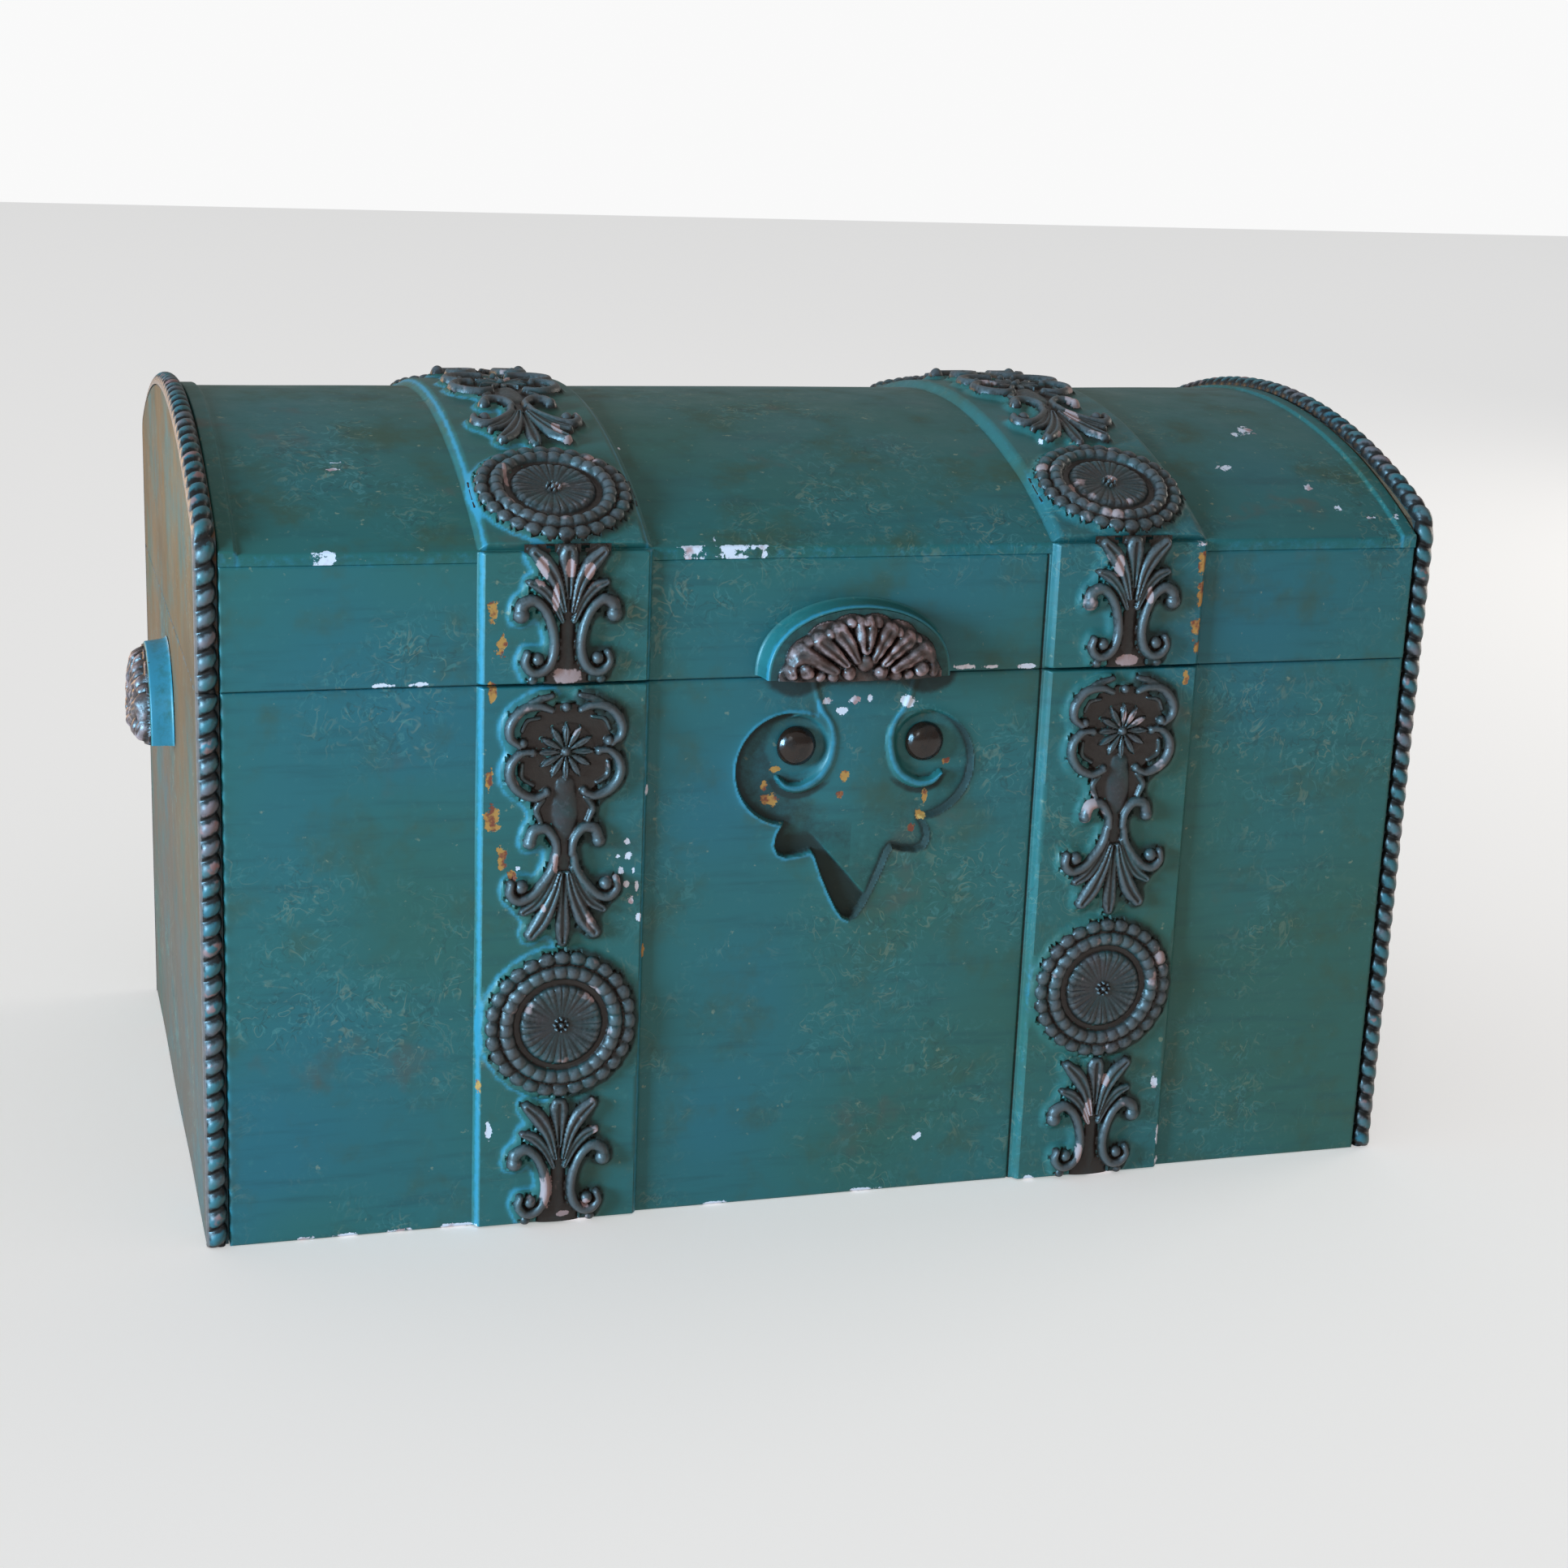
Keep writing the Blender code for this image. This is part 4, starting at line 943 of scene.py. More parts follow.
def escutcheon(u, v):
    """Height in mm of the carving, its painted shade with some dark glaze, and its lips lighter with wear and
    painted highlight, at millimetres (u, v).
    """
    x = u - ESCUTCHEON_X / MM
    side = np.abs(x)
    left = x < 0
    inward = np.where(left, u - LEFT_STUD[0] / MM, RIGHT_STUD[0] / MM - u)
    upward = v - LEFT_STUD[2] / MM
    curl = ridge(inward, upward, CURL, 3.4, fall=1.9)
    outline = np.hypot(side - VOLUTE[0], v - VOLUTE[1]) - VOLUTE[2]
    outline = np.minimum(outline, polygon_distance(side, v, np.array(PENDANT, float)))
    outline = np.minimum(outline, np.maximum(side - 15.5, 176 - v))
    rise = ((side / 23) ** 2 + (np.maximum(182 - v, 0) / 26) ** 2) ** 1.2
    floor = -CARVE * (1 - np.exp(-rise))
    pocket = ease((POCKET_R - np.hypot(inward, upward)) / 2.6)
    outer = ease((-inward - 4 + 0.5 * np.maximum(upward, 0)) / 6)
    outer = outer * ease((v - 166) / 8)
    floor = floor + (-CARVE - floor) * np.maximum(pocket, outer)
    floor = floor * (1 - ease((v - 194) / 9) * (1 - np.maximum(pocket, outer)))
    (x0, y0), (x1, y1) = FOLD
    past = ((x - x0) * (y1 - y0) - (v - y0) * (x1 - x0)) / math.hypot(x1 - x0, y1 - y0)
    lower = ease(0.5 + past / 0.9) * ease((158 - v) / 8)
    raised = (1.5 * np.exp(np.minimum(past, 0) / 9)) * ease((156 - v) / 10) * (1 - lower)
    floor = np.maximum(floor + raised, -CARVE) - 0.5 * lower
    floor = blend_max(floor, curl - CURL_SUNK, 0.5)
    lip = 0.8 * np.exp(-np.clip(outline, 0, None) / 2.0) * ease((212 - 14 * ease((20 - side) / 4) - v) / 8)
    wall = ease((0.35 - outline) / 1.3)
    height = np.clip(lip * (1 - wall) + floor * wall, LOWEST, 1.0)
    risen = np.maximum(height, np.clip(curl - CURL_SUNK, LOWEST, 0.9))
    height = np.where((v > 200) & (side < 24), risen, height)
    # Painted shade with some dark glaze: darker where the carving is deep, more on the left, on the pendant's
    # lower facet, in a crescent below each nail and along the right-hand walls.
    deep = wall * ease((-height - 0.5) / 2.0)
    below_nail = ease((12 + upward) / -4) * ease((curl + 6.0) / 3) * (1 - ease(curl / 1.5))
    dark = deep * np.where(left, 0.62, 0.30) * (1 - 0.55 * pocket)
    dark = dark + deep * 0.5 * ease((outline + 4.0) / 3.5) * np.where(left | (v < 160), 1.0, 0.35)
    dark = dark + 0.7 * lower * wall + 0.6 * below_nail * wall
    dark = dark + 0.95 * np.exp(-((outline + 0.2) / 1.3) ** 2) * ~left * ease((204 - v) / 8)
    # Painted highlight with some wear: the lips on the left, and the crests of the curls, are lighter.
    rubbed = np.exp(-np.abs(outline - 0.9) / 1.0) * np.where(left, 0.95, 0.2)
    rubbed = rubbed + 0.7 * ease((curl - 2.5) / 0.7)
    return height, np.clip(dark, 0, 1), rubbed * ease((213 - v) / 6)


def front_panel():
    middle, reach = ESCUTCHEON_X, CARVED_HALF * MM
    low, high = (edge * MM for edge in CARVED_RANGE)
    us = lines(-INNER_X, INNER_X, 2.4 * MM, (JOINT_ZONE, (middle - reach, middle + reach, 0.55 * MM)))
    vs = lines(0, BODY_TOP, 2.4 * MM, ((low, high, 0.55 * MM),))
    u, v = mesh_grid(us, vs)
    height, dark, rubbed = escutcheon(u / MM, v / MM)
    near = np.abs(u - middle) < (CARVED_HALF + 3) * MM
    seam = joint(u)
    top = height * MM * near + waves(u, v, 0.11, 0.16 * MM, 1) - rounded_rim(us, vs, 1.3 * MM)
    top = top - JOINT_DEPTH * seam
    glaze_and_shade = np.maximum(dark * near, 0.9 * seam) + 0.45 * np.exp((v - BODY_TOP) / (1.6 * MM))
    # Painted shadow of the lid's pull, with some dark glaze, which comes down further above the two curls.
    aside = np.abs(u / MM - PULL_SHADE_X)
    foot = 213.8 - 5.0 * np.exp(-((aside - 27) / 9) ** 2)
    shadow = ease((41 - aside) / 6) * ease((v / MM - foot) / 4.5)
    # Worn edges, and the carving's lips lightened with painted highlight.
    wear_and_highlight = edge_wear(us, vs, 1.6 * MM, 0.5) + rubbed * near
    values = paint_values(on_front, us, vs, wear_and_highlight, glaze_and_shade + 0.95 * shadow)
    obj = board("front_panel_carved", us, vs, top, BOARD_T, on_front, (PAINT, INSIDE), values)
    return stand_for(obj, "body", "teal_paint", "front_panel")


# ---------------------------------------------------------------- plain boards

def flat_board(node, body, place, width, low, high, thickness, finishes, seed):
    us, vs = lines(-width, width, 4 * MM), lines(low, high, 4 * MM)
    u, v = mesh_grid(us, vs)
    top = waves(u, v, 0.12, 0.15 * MM, seed) - rounded_rim(us, vs, 1.2 * MM) - 0.1 * MM
    values = paint_values(place, us, vs, edge_wear(us, vs, 1.8 * MM, 0.55),
                          0.25 * ease((6 * MM - vs) / (6 * MM))[None, :])
    obj = board(f"{node}_painted", us, vs, top, thickness, place, finishes, values)
    return stand_for(obj, body, "teal_paint", node)


def under_dome(y):
    """Height of the dome panel's underside."""
    inner = DOME_R - DOME_T
    return DOME_CENTRE + math.sqrt(inner ** 2 - y ** 2)


def rail(side, place, seed):
    """Rail whose top follows the slope of the dome panel."""
    top_z = under_dome(HALF_D) - 0.3 * MM
    rise = under_dome(PANEL_INNER) - under_dome(HALF_D)

    def leaning(u, v, h):
        share = (v - LID_FOOT) / (top_z - LID_FOOT)
        return place(u, v + rise * share * np.clip(-h / BOARD_T, 0, 1), h)

    us = lines(-INNER_X, INNER_X, 2.4 * MM, (JOINT_ZONE,))
    vs = lines(LID_FOOT, top_z, 2.2 * MM)
    u, v = mesh_grid(us, vs)
    seam = joint(u) * (1.0 if side == "front" else 0.0)
    top = waves(u, v, 0.11, 0.14 * MM, seed) - rounded_rim(us, vs, 0.9 * MM) - JOINT_DEPTH * seam - 0.05 * MM
    glaze_and_shade = 0.9 * seam + 0.5 * np.exp(-(v - LID_FOOT) / (1.2 * MM)) + 0.12 * np.exp((v - top_z) / (0.5 * MM))
    values = paint_values(leaning, us, vs, edge_wear(us, vs, 1.4 * MM, 0.45), glaze_and_shade)
    obj = board(f"{side}_rail_painted", us, vs, top, BOARD_T, leaning, (PAINT, INSIDE), values)
    return stand_for(obj, "lid", "teal_paint", f"lid_{side}_rail")


def dome_panel():
    def bent(u, s, h):
        """Out along the dome's own normal, but straight down inside, so that its edges stay upright."""
        turn = s / DOME_R - DOME_ANGLE
        out, sunk = np.maximum(h, 0), np.minimum(h, 0)
        y = (DOME_R + out) * np.sin(turn)
        inner = DOME_R * np.sin(turn)
        z = DOME_CENTRE + np.sqrt((DOME_R + sunk) ** 2 - inner ** 2) + out * np.cos(turn)
        return at(u, y, z)

    border = INNER_X - 7.2 * MM         # a low raised band runs along both ends
    us = lines(-INNER_X, INNER_X, 2.6 * MM, ((-border - 2.5 * MM, -border + 1 * MM, 0.3 * MM),
                                             (border - 1 * MM, border + 2.5 * MM, 0.3 * MM)))
    vs = lines(0, DOME_LENGTH, 2.6 * MM)
    u, v = mesh_grid(us, vs)
    edge = ease((np.abs(u) - border) / (1.6 * MM))
    top = waves(u, v, 0.12, 0.2 * MM, 5) - rounded_rim(us, vs, 0.8 * MM) + 1.3 * MM * edge
    crease = np.exp(-vs / (0.7 * MM))[None, :] + np.exp((vs - DOME_LENGTH) / (0.7 * MM))[None, :]
    # Along each end, a lighter line on the raised band's inner edge is painted highlight with some wear, and
    # the last few millimetres darken with painted shade by the end crests.
    line = np.exp(-((np.abs(u) - border - 0.8 * MM) / (0.9 * MM)) ** 2)
    glaze_and_shade = 0.25 * ease((np.abs(u) - INNER_X + 3 * MM) / (3 * MM))
    values = paint_values(bent, us, vs, 0.4 * crease + 0.35 * line, glaze_and_shade)
    obj = board("dome_panel_painted", us, vs, top, DOME_T, bent, (DOME_PAINT, INSIDE), values, across=False)
    return stand_for(obj, "lid", "teal_paint", "lid_dome_panel")


# ---------------------------------------------------------------- lid ends and rope mouldings

CROWN_R = CREST_R - MOULD_RISE
CORNER_R = CREST_CORNER_R - MOULD_RISE
CROWN_Z = CREST_TOP - CREST_R
CORNER_Y = END_EDGE - CORNER_R
CORNER_Z = CROWN_Z + math.sqrt((CROWN_R - CORNER_R) ** 2 - CORNER_Y ** 2)
SHOULDER = math.atan2(CORNER_Z - CROWN_Z, CORNER_Y)


def end_top(y):
    """Top edge of a lid end panel at y."""
    side = np.abs(y)
    crown = CROWN_Z + np.sqrt(np.maximum(CROWN_R ** 2 - side ** 2, 0))
    corner = CORNER_Z + np.sqrt(np.maximum(CORNER_R ** 2 - (side - CORNER_Y) ** 2, 0))
    return np.where(side < CROWN_R * math.cos(SHOULDER), crown, corner)


def lid_end(side, place, seed):
    def shaped(u, f, h):
        return place(u, LID_FOOT + f * (end_top(u) - LID_FOOT), h)

    bend = CROWN_R * math.cos(SHOULDER)
    us = lines(-END_EDGE, END_EDGE, 4 * MM, ((-END_EDGE, -bend + 2 * MM, 0.7 * MM),
                                             (bend - 2 * MM, END_EDGE, 0.7 * MM)))
    fs = lines(0, 1.0, 0.045, rim=0.03)
    u, f = mesh_grid(us, fs)
    height = end_top(u) - LID_FOOT
    inset = np.minimum(END_EDGE - np.abs(u), np.minimum(f * height, (1 - f) * height))
    top = waves(u, f * height, 0.1, 0.12 * MM, seed) - round_over(inset, 1.2 * MM) - 0.1 * MM
    values = paint_values(shaped, us, fs, 0.5 * np.exp(-inset / (2 * MM)),
                          0.3 * np.exp(-f * height / (1.5 * MM)))
    node = f"lid_{side}_end_panel"
    obj = board(f"{node}_painted", us, fs, top, END_T, shaped, (END_PAINT, INSIDE_END), values)
    return stand_for(obj, "lid", "teal_paint", node)


BEAD_PITCH = 7.9 * MM
RINGS_PER_BEAD = 16
ROPE_SECTION = 14


def rope(spot, body, path, normals, sign):
    """Half-round moulding of beads set aslant, swept along a path in the YZ plane."""
    steps = np.linalg.norm(np.diff(path, axis=0), axis=1)
    length = np.concatenate([[0], np.cumsum(steps)])
    beads = max(1, round(length[-1] / BEAD_PITCH))
    count = beads * RINGS_PER_BEAD + 1
    place = np.linspace(0, length[-1], count)
    line = np.stack([np.interp(place, length, path[:, k]) for k in (0, 1)], -1)
    out = np.stack([np.interp(place, length, normals[:, k]) for k in (0, 1)], -1)
    out /= np.linalg.norm(out, axis=1)[:, None]
    turn = np.linspace(0, math.pi, ROPE_SECTION + 1)
    middle, half = (HALF_W + MOULD_X) / 2, (HALF_W - MOULD_X) / 2
    across = np.cos(turn)[None, :]
    phase = (place / place[-1] * beads)[:, None] + 0.22 * across
    swell = np.abs(np.sin(math.pi * phase)) ** 0.75
    ends = np.minimum(np.arange(count), np.arange(count)[::-1])[:, None] / 3
    swell = swell * np.clip(ends, 0.25, 1) ** 0.4
    rise = MOULD_RISE * (0.52 + 0.48 * swell) * np.sin(turn)[None, :] ** 0.85
    inward = np.clip(-across, 0, 1)
    wide = half * (1 - inward * 0.36 * (1 - swell)) * across
    flank = ease((across - 0.55) / 0.35) * np.ones_like(phase)
    rise = np.maximum(rise, flank * MOULD_RISE * 0.5 * np.sin(turn)[None, :] ** 0.5)
    x = sign * (middle + wide)
    y = line[:, :1] + out[:, :1] * rise
    z = line[:, 1:] + out[:, 1:] * rise
    points = np.stack([x * np.ones_like(y), y, z], -1)
    index = np.arange(y.size).reshape(y.shape)
    quads = grid_quads(index).reshape(-1, 4)
    back = np.stack([index[:-1, -1], index[1:, -1], index[1:, 0], index[:-1, 0]], -1)
    values = {"lift": swell * np.sin(turn)[None, :] ** 0.6, "side": flank}
    faces = [quads, back, index[0], index[-1, ::-1]]
    obj = make(f"{spot}_rope", points.reshape(-1, 3), faces, (ROPE,), values=values, sharp=80)
    return stand_for(obj, body, "teal_paint", f"{spot}_bead_moulding")


def crest_path():
    """Edge of a lid end panel from its front foot over to its back foot, with its outward directions."""
    path, out = [], []
    for z in np.linspace(LID_FOOT, CORNER_Z, 24)[:-1]:
        path.append((-END_EDGE, z))
        out.append((-1.0, 0.0))
    corner = np.linspace(math.pi, math.pi - SHOULDER, 14)[:-1]
    crown = np.linspace(math.pi - SHOULDER, math.pi / 2, 80)
    for turns, y, z, radius in ((corner, -CORNER_Y, CORNER_Z, CORNER_R), (crown, 0.0, CROWN_Z, CROWN_R)):
        for turn in turns:
            path.append((y + radius * math.cos(turn), z + radius * math.sin(turn)))
            out.append((math.cos(turn), math.sin(turn)))
    path += [(-y, z) for y, z in path[-2::-1]]
    out += [(-y, z) for y, z in out[-2::-1]]
    return np.array(path), np.array(out)


def mouldings():
    path, out = crest_path()
    for side, sign in (("left", -1), ("right", 1)):
        rope(f"lid_{side}", "lid", path, out, sign)
        for face, way in (("front", -1), ("back", 1)):
            upright = np.array([(way * END_EDGE, z) for z in np.linspace(0.3 * MM, BODY_TOP, 12)])
            outward = np.array([(float(way), 0.0)] * 12)
            rope(f"{side}_{face}", "body", upright, outward, sign)


# ---------------------------------------------------------------- straps and castings

def cast_grid(half, low, high):
    def run(start, end):
        cells = int(math.ceil((end - start) / CAST_STEP / BLOCK)) * BLOCK
        return start + np.arange(cells + 1) * (end - start) / cells
    return run(-half, half), run(low, high)


def cast_field(shape, half, low, high):
    """Grid, height and shading numbers of one kind of casting."""
    us, vs = cast_grid(half, low, high)
    x, y = mesh_grid(us, vs)
    height = np.maximum(shape(x, y), -SUNK)
    soft = blurred(height, 14)
    hollow = np.clip((soft - height) / 0.9, 0, 1)
    hollow = np.maximum(hollow, 0.8 * np.clip((2.5 - height) / 1.3, 0, 1))
    lift = np.clip(height / 4.6 + np.clip((height - soft) / 1.2, -0.2, 0.3), 0, 1.2)
    return us, vs, height, {"hollow": hollow, "lift": lift}


CAST_KINDS = {
    "palmette": cast_field(palmette_height, 23, 0.0, 52.6),
    "scroll": cast_field(scroll_height, 26, 0.4, 102.6),
    "rosette": cast_field(rosette_height, 31.5, -31.5, 31.5),
}

# Pink primer showing on the castings: across, up, half width, half height, in mm on the front.
CAST_CHIPS = (
    (-114, 223.6, 6.0, 3.2), (-124.5, 264, 2.6, 6.0), (-119, 254, 1.4, 6.0), (-113.5, 265, 2.2, 3.6),
    (-106.5, 264, 2.2, 4.0), (-118.5, 16, 2.2, 8.5), (-117.6, 151, 1.4, 4.2), (-103, 9, 1.8, 2.2),
    (-112, 4.5, 2.6, 1.4), (114, 223.5, 5.0, 2.4), (107, 262, 2.2, 5.0), (121, 250, 1.4, 4.0),
    (111, 30, 2.0, 7.0), (118, 44, 1.6, 3.0), (108, 12, 1.4, 4.4), (-122, 133, 1.0, 1.6),
)
# The same on the dome: across, along.
DOME_CAST_CHIPS = (
    (-98, 112, 3.4, 9.0), (-92, 92, 2.4, 6.5), (-119, 66, 2.8, 2.6), (-104, 76, 2.0, 6.0),
    (-100, 66, 3.2, 2.4),
    (128, 108, 3.6, 9.0), (119, 88, 3.0, 7.0), (134, 74, 2.4, 4.0), (108, 70, 2.2, 3.0), (116, 34, 2.4, 2.6),
    (-131, 40, 1.0, 7.0), (97, 26, 1.2, 6.0),
)


def casting(node, body, kind, place, x, start):
    us, vs, height, values = CAST_KINDS[kind]

    def laid(u, v, h):
        return place(x + u, start + v, STRAP_TOP + h)

    points = laid(*mesh_grid(us * MM, vs * MM), 0.0)
    chips = np.maximum(spots(points, CAST_CHIPS, on_front), spots(points, DOME_CAST_CHIPS, on_dome))
    values = {**values, "chip": chips * (height > 0.4)}
    obj = relief(f"{node}_cast", height * MM, us * MM, vs * MM, laid, CASTING, values)
    return stand_for(obj, body, "dark_casting", node)


def round_castings(u, v, layout):
    """Nearness of the castings, and their height where they lie, at millimetres across and along a strap."""
    nearness, cover = np.zeros(u.shape), np.full(u.shape, -9.0)
    pad = 20                        # grid cells kept round a casting
    for kind, start in layout:
        us, vs, height, _ = CAST_KINDS[kind]
        soft = blurred(np.pad((height > 0).astype(float), pad), 70)
        step_u, step_v = us[1] - us[0], vs[1] - vs[0]
        i = np.rint((u - us[0]) / step_u).astype(int)
        j = np.rint((v - start - vs[0]) / step_v).astype(int)
        a = np.clip(i + pad, 0, soft.shape[0] - 1)
        b = np.clip(j + pad, 0, soft.shape[1] - 1)
        inside = (i > -pad) & (i < len(us) + pad) & (j > -pad) & (j < len(vs) + pad)
        nearness = np.maximum(nearness, soft[a, b] * inside)
        on_it = (i >= 0) & (i < len(us)) & (j >= 0) & (j < len(vs))
        here = height[np.clip(i, 0, len(us) - 1), np.clip(j, 0, len(vs) - 1)]
        cover = np.maximum(cover, np.where(on_it & (here > 0), here, -9.0))
    return nearness, cover


def strap(node, body, place, x, low, high, layout, cove, curved=False):
    us = lines(-STRAP_HALF, STRAP_HALF, 0.9 * MM, rim=4 * MM)
    vs = lines(low, high, 1.1 * MM)
    u, v = mesh_grid(us, vs)

    def laid(u, v, h):
        return place(x + u, v, h)

    inset = STRAP_HALF - np.abs(u)
    top = STRAP_TOP * ease(inset / cove) ** 0.8 + waves(u + x, v, 0.07, 0.1 * MM, 8)
    end = np.minimum(v - low, high - v)
    top = np.clip(top - round_over(end, 0.7 * MM), 0.05 * MM, STRAP_TOP)
    near, cover = round_castings(u / MM, v / MM, layout)
    skirt = 1.9 * ease((near - 0.03) / 0.45)
    skirt = np.where(cover > 0, np.minimum(skirt, cover - 0.4), skirt)
    top = np.maximum(top + skirt * MM * ease(end / (1.5 * MM)), 0.05 * MM)
    # Painted shadow of the castings, falling to their right, over dark glaze round them.
    shade = 0.1 + 0.9 * ease(u / (20 * MM) + 0.5)
    glaze_and_shade = ease((near - 0.02) / 0.4) * shade
    rubbed = 0.8 if x < 0 else 0.3      # the left straps have brighter edges: painted highlight with some wear
    wear_and_highlight = rubbed * np.exp(-((inset - 0.6 * cove) / (0.9 * MM)) ** 2) + 0.12 * np.exp(-end / (1.0 * MM))
    # Painted highlight on the skirts to the left of the castings.
    wear_and_highlight = wear_and_highlight + rubbed * np.exp(-((near - 0.16) / 0.12) ** 2) * ease(-u / (6 * MM) + 0.4)
    values = paint_values(laid, us, vs, wear_and_highlight, glaze_and_shade)
    obj = board(f"{node}_painted", us, vs, top, 0.25 * MM, laid, (STRAP_PAINT,), values, across=not curved)
    return stand_for(obj, body, "teal_paint", node)


# Castings along each strap, with their places in mm: the foot of a palmette or scroll, the middle of a
# rosette.
RAIL_FOOT = cad("lid_front_rail")[0][2] / MM + 0.5
BODY_LAYOUT = (("palmette", 1.2), ("rosette", 84.6), ("scroll", 115.4))
RAIL_LAYOUT = (("palmette", RAIL_FOOT),)
DOME_LAYOUT = (("rosette", 31.2), ("scroll", 62.0), ("palmette", 166.0), ("rosette", 249.5))


def straps_and_castings():
    for side, x in (("left", -STRAP_X), ("right", STRAP_X)):
        strap(f"body_{side}_strap", "body", on_front, x, STRAP_LOW[2], STRAP_HIGH[2], BODY_LAYOUT, 2.6 * MM)
        strap(f"lid_{side}_rail_strap", "lid", on_front, x, cad("lid_left_rail_strap")[0][2], CREASE,
              RAIL_LAYOUT, 2.6 * MM)
        strap(f"lid_{side}_dome_strap", "lid", on_dome, x, 0.6 * MM, DOME_LENGTH - 0.6 * MM, DOME_LAYOUT,
              4.4 * MM, curved=True)
        for body, place, layout, prefixes in (("body", on_front, BODY_LAYOUT, ("", "", "")),
                                              ("lid", on_front, RAIL_LAYOUT, ("",)),
                                              ("lid", on_dome, DOME_LAYOUT, ("", "", "back_", "back_"))):
            for (kind, start), prefix in zip(layout, prefixes):
                casting(f"{body}_{side}_{prefix}{kind}", body, kind, place, x, start * MM)


# ---------------------------------------------------------------- pulls

PULL_STEPS = 64


def pull_block(spot, body, place, root, face, depth, foot, rubbed=0.0):
    """Arched block with a hollow flare at its root and a rounded front edge."""
    profile, worn, darkened = [], [], []
    # The rounded edge is lighter with wear and painted highlight, and with rubbed the whole flare gets
    # painted highlight, as on the handles; the cove midway up the flare and the face round the shell are
    # darker.
    for t in np.linspace(0, 1, 9):
        wide, tall = (outer + (inner - outer) * t ** 0.55 for outer, inner in zip(root, face))
        profile.append((wide, tall, 0.3 * MM + (depth - 1.2 * MM) * t ** 1.5))
        worn.append(rubbed + (1 - rubbed) * t ** 6)
        darkened.append(0.3 * (1 - t) * t)
    for turn in np.linspace(0, math.pi / 2, 7)[1:]:
        inset = 1.1 * MM * (1 - math.cos(turn))
        profile.append((face[0] - inset, face[1] - inset, depth - 0.9 * MM + 0.9 * MM * math.sin(turn)))
        worn.append(0.9 * math.cos(turn))
        darkened.append(0.2 * math.sin(turn))
    for share in (0.97, 0.85, 0.6, 0.3):
        profile.append((face[0] * share, face[1] * share, depth))
        worn.append(0.3 * rubbed)
        darkened.append(0.6 - 0.4 * rubbed)
    turns = np.linspace(0, math.pi, PULL_STEPS + 1)
    rings = [place(wide * np.cos(turns), foot + tall * np.sin(turns) ** 0.85, np.full(len(turns), out))
             for wide, tall, out in profile]
    points = np.concatenate([*rings, place(np.zeros(1), np.full(1, foot), np.full(1, depth))])
    index = np.arange(len(profile) * len(turns)).reshape(len(profile), len(turns))
    hub = len(points) - 1
    quads = np.stack([index[:-1, :-1], index[:-1, 1:], index[1:, 1:], index[1:, :-1]], -1).reshape(-1, 4)
    fan = np.stack([index[-1, :-1], index[-1, 1:], np.full(PULL_STEPS, hub)], -1)
    sole = np.concatenate([index[::-1, 0][::-1], [hub], index[::-1, -1]])[::-1]
    back = index[0][::-1]
    wear_and_highlight = np.append(np.repeat(worn, len(turns)), worn[-1])
    glaze_and_shade = np.append(np.repeat(darkened, len(turns)), darkened[-1])
    values = {"wear_and_highlight": wear_and_highlight, "glaze_and_shade": glaze_and_shade, "chip": 0 * wear_and_highlight, "ochre": 0 * wear_and_highlight}
    obj = make(f"{spot}_carved", points, [quads, fan, sole, back], (PULL_PAINT,), values=values, sharp=50)
    return stand_for(obj, body, "teal_paint", f"{spot}_block")


def shell(spot, body, place, width, height, depth, foot, deepest):
    cells_u = int(round(2 * width / MM / CAST_STEP / BLOCK)) * BLOCK
    cells_v = int(round(height / MM / CAST_STEP / BLOCK)) * BLOCK
    us, vs = np.linspace(-width, width, cells_u + 1), np.linspace(0, height, cells_v + 1)
    u, v = mesh_grid(us, vs)
    x, y = u / width * SHELL_HALF, v / height * SHELL_HIGH
    field = np.maximum(shell_height(x, y, deepest), -SUNK)
    soft = blurred(field, 14)
    values = {"hollow": np.clip((soft - field) / 0.7, 0, 1) + 0.5 * np.clip((1.2 - field) / 1.2, 0, 1),
              "lift": np.clip(0.5 + (field - soft) / 1.4, 0, 1.2)}

    def laid(u, v, h):
        return place(u, foot + v, depth + h)

    obj = relief(f"{spot}_shell_cast", field * MM, us, vs, laid, BRONZE, values)
    return stand_for(obj, body, "bronze_casting", f"{spot}_shell")


def pulls():
    low, high = cad("lid_pull_block")
    face_low, face_high = cad("lid_pull_shell")
    depth = -low[1] - HALF_D
    root = (high[0], high[2] - low[2])
    size = (face_high[0], face_high[2] - face_low[2])
    face = tuple(own + 0.6 * (outer - own) for own, outer in zip(size, root))
    deepest = (-face_low[1] - HALF_D - depth) / MM
    pull_block("lid_pull", "lid", on_front, root, face, depth, low[2])
    shell("lid_pull", "lid", on_front, *size, depth, low[2], deepest)
    for side, place in (("left", on_left), ("right", on_right)):
        low, high = cad(f"{side}_handle_block")
        face_low, face_high = cad(f"{side}_handle_shell")
        depth = max(abs(low[0]), abs(high[0])) - HALF_W
        deepest = (max(abs(face_low[0]), abs(face_high[0])) - HALF_W - depth) / MM
        root = (high[1], high[2] - low[2])
        size = (face_high[1], face_high[2] - face_low[2])
        face = tuple(own + 1.2 * MM for own in size)
        # The handles' flares get a painted highlight.
        pull_block(f"{side}_handle", "body", place, root, face, depth, low[2], 0.7)
        shell(f"{side}_handle", "body", place, *size, depth, low[2], deepest)


# ---------------------------------------------------------------- nails

NAIL_SIDES = 48


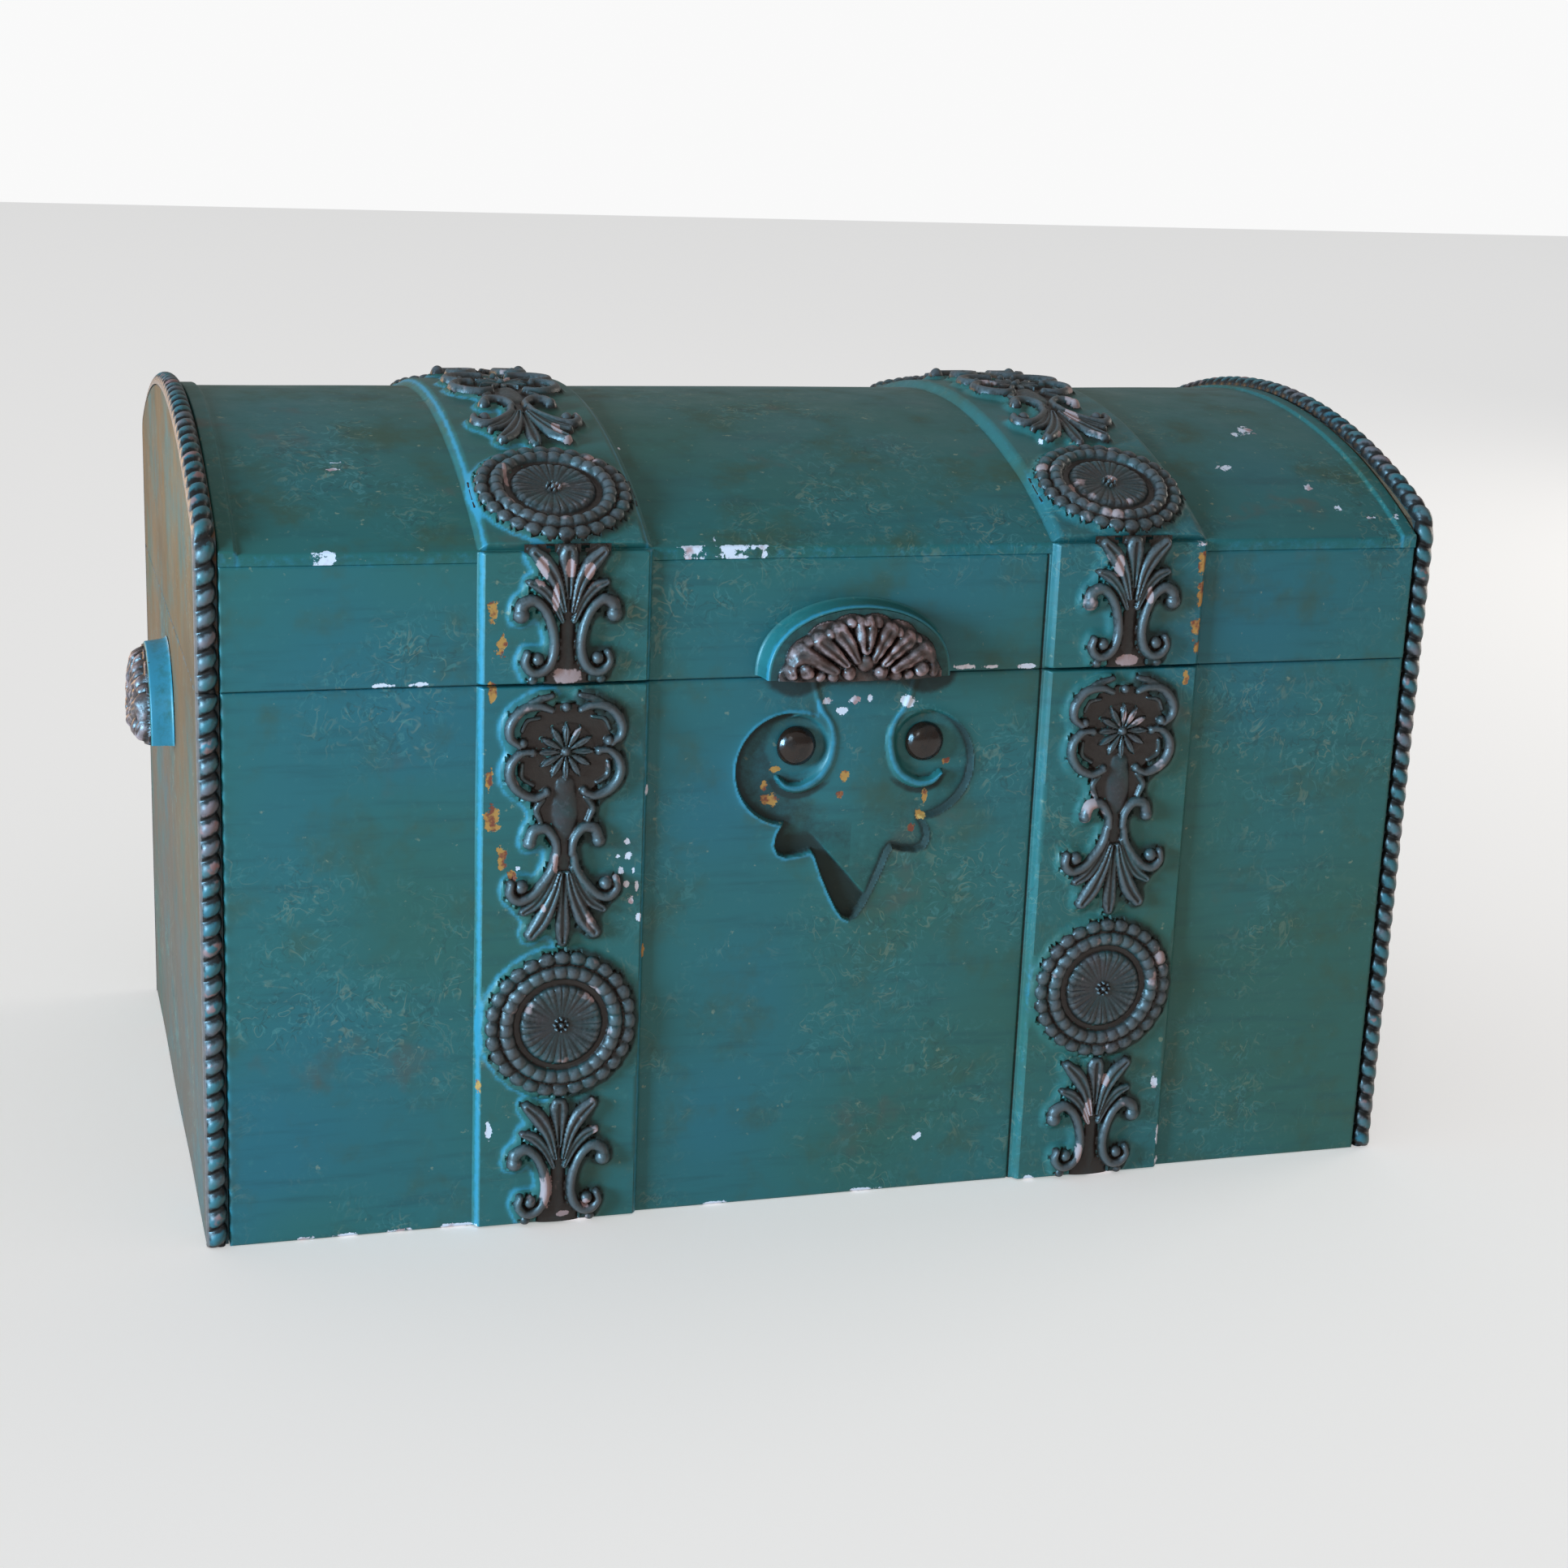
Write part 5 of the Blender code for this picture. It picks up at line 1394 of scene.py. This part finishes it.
def stud(side):
    low, high = cad(f"{side}_stud")
    centre_x, centre_z = (low[0] + high[0]) / 2, (low[2] + high[2]) / 2
    radius = (high[0] - low[0]) / 2
    crown = -low[1]
    seat = HALF_D - (CARVE - 0.3) * MM
    rise = crown - seat
    profile = [(1.4 * MM, -high[1]), (1.4 * MM, seat), (radius - 0.5 * MM, seat)]
    for turn in np.linspace(0, math.pi / 2, 15)[:-1]:
        out = seat + 0.35 * MM + (rise - 0.35 * MM) * math.sin(turn)
        profile.append((radius * math.cos(turn) ** 0.9, out))
    turns = np.linspace(0, 2 * math.pi, NAIL_SIDES + 1)[:-1]
    rings = []
    for r, out in profile:
        dent = 1 + 0.012 * np.sin(3 * turns + 40 * r / MM) * (r > 3 * MM)
        x, z = centre_x + r * dent * np.cos(turns), centre_z + r * dent * np.sin(turns)
        rings.append(at(x, np.full(NAIL_SIDES, -out), z))
    points = np.concatenate([*rings, [[centre_x, -crown, centre_z]]])
    index = np.arange(len(profile) * NAIL_SIDES).reshape(len(profile), NAIL_SIDES)
    following = np.roll(index, -1, axis=1)
    quads = np.stack([index[:-1], following[:-1], following[1:], index[1:]], -1).reshape(-1, 4)
    fan = np.stack([index[-1], following[-1], np.full(NAIL_SIDES, len(points) - 1)], -1)
    obj = make(f"{side}_nail", points, [quads, fan, index[0][::-1]], (NAIL,), sharp=50)
    return stand_for(obj, "body", "polished_nail", f"{side}_stud")


# ---------------------------------------------------------------- the chest

def build():
    front_panel()
    flat_board("back_panel", "body", on_back, INNER_X, 0, BODY_TOP, BOARD_T, (PAINT, INSIDE), 2)
    for side, place, seed in (("left", on_left, 3), ("right", on_right, 4)):
        flat_board(f"{side}_end_panel", "body", place, END_EDGE, 0, BODY_TOP, END_T,
                   (END_PAINT, INSIDE_END), seed)
        lid_end(side, place, seed + 10)
    rail("front", on_front, 6)
    rail("back", on_back, 7)
    dome_panel()
    mouldings()
    straps_and_castings()
    pulls()
    for side in ("left", "right"):
        stud(side)
    for name, obj in frame["nodes"].items():
        finish = {"bottom_board": FLOOR_WOOD}.get(name)
        if "hinge" in name:
            finish = STEEL if name.endswith("pin") else BRASS
        if finish:
            obj.data.materials.clear()
            obj.data.materials.append(finish)


build()


# ---------------------------------------------------------------- floor, light and camera

WHITE = (1.0, 1.0, 1.0, 1.0)


def floor():
    """Plain floor that glows a little, so that it stays pale under soft light."""
    finish = bpy.data.materials.new("pale_floor")
    finish.use_nodes = True
    shader = finish.node_tree.nodes["Principled BSDF"]
    shader.inputs["Base Color"].default_value = (0.9, 0.9, 0.9, 1.0)
    shader.inputs["Roughness"].default_value = 0.9
    shader.inputs["Specular IOR Level"].default_value = 0.1
    shader.inputs["Emission Color"].default_value = WHITE
    shader.inputs["Emission Strength"].default_value = 0.38
    mesh = bpy.data.meshes.new("floor")
    reach = 6.0
    corners = [(-reach, -reach, 0), (reach, -reach, 0), (reach, reach, 0), (-reach, reach, 0)]
    mesh.from_pydata(corners, [], [(0, 1, 2, 3)])
    mesh.materials.append(finish)
    obj = bpy.data.objects.new("floor", mesh)
    bpy.context.scene.collection.objects.link(obj)


def soft_light(name, place, target, size, watts, colour, spread=180, only=None):
    """Area lamp. With only, it lights that collection and nothing else."""
    lamp = bpy.data.lights.new(name, "AREA")
    lamp.shape = "RECTANGLE"
    lamp.size, lamp.size_y = size
    lamp.energy = watts
    lamp.color = colour
    lamp.spread = math.radians(spread)
    obj = bpy.data.objects.new(name, lamp)
    obj.location = place
    obj.rotation_euler = (Vector(target) - Vector(place)).to_track_quat("-Z", "Y").to_euler()
    if only:
        obj.light_linking.receiver_collection = only
    bpy.context.scene.collection.objects.link(obj)


def surround():
    """White surround, seen plainly by the camera but giving little light."""
    world = bpy.data.worlds.new("studio")
    world.use_nodes = True
    bpy.context.scene.world = world
    tree = world.node_tree
    dim = tree.nodes["Background"]
    bright = tree.nodes.new("ShaderNodeBackground")
    for shader, strength in ((dim, 0.30), (bright, 0.95)):
        shader.inputs["Color"].default_value = WHITE
        shader.inputs["Strength"].default_value = strength
    seen = tree.nodes.new("ShaderNodeLightPath").outputs["Is Camera Ray"]
    both = tree.nodes.new("ShaderNodeMixShader")
    for socket, source in zip(both.inputs, (seen, dim.outputs[0], bright.outputs[0])):
        tree.links.new(source, socket)
    tree.links.new(both.outputs[0], tree.nodes["World Output"].inputs["Surface"])


def light():
    """Soft lamps. The blue one at the left and the warm one behind light the chest only, not the floor."""
    chest = bpy.data.collections.new("lit_by_coloured_lamps")
    for obj in bpy.context.scene.objects:
        if obj.type == "MESH" and obj.name != "floor":
            chest.objects.link(obj)
    soft_light("left_window", (-1.8, -0.72, 0.52), (0, -0.12, 0.16), (0.6, 0.7), 18, (0.34, 0.70, 1.0),
               spread=80, only=chest)
    soft_light("front_window", (-0.66, -1.56, 0.98), (0, -0.15, 0.15), (0.4, 0.4), 2.0, (0.9, 0.95, 1.0))
    soft_light("ceiling", (0, 0, 5.0), (0, 0, 0), (16.0, 16.0), 104, (1.0, 0.99, 0.97))
    soft_light("warm_back", (-1.3, 1.35, 0.42), (-0.2, 0, 0.2), (0.9, 0.7), 11, (1.0, 0.58, 0.26), only=chest)
    soft_light("right_fill", (2.3, 0.6, 0.55), (0, 0, 0.15), (1.0, 1.0), 14, (1.0, 0.93, 0.84))


def camera():
    """Solved view of the reference: 60.5 mm on a 36 mm square frame."""
    yaw, pitch, roll = (math.radians(a) for a in (17.226, -15.589, 2.358))
    forward = Vector((math.sin(yaw) * math.cos(pitch), math.cos(yaw) * math.cos(pitch), math.sin(pitch)))
    level = Vector((math.cos(yaw), -math.sin(yaw), 0))
    upright = level.cross(forward)
    right = math.cos(roll) * level + math.sin(roll) * upright
    up = -math.sin(roll) * level + math.cos(roll) * upright
    lens = bpy.data.cameras.new("camera")
    lens.lens, lens.sensor_width, lens.sensor_fit = 60.52, 36.0, "HORIZONTAL"
    obj = bpy.data.objects.new("camera", lens)
    obj.matrix_world = Matrix((right, up, -forward)).transposed().to_4x4()
    obj.location = (-0.3195, -1.0951, 0.4534)
    bpy.context.scene.collection.objects.link(obj)
    bpy.context.scene.camera = obj
    bpy.context.scene.view_settings.view_transform = "Standard"


floor()
surround()
light()
camera()
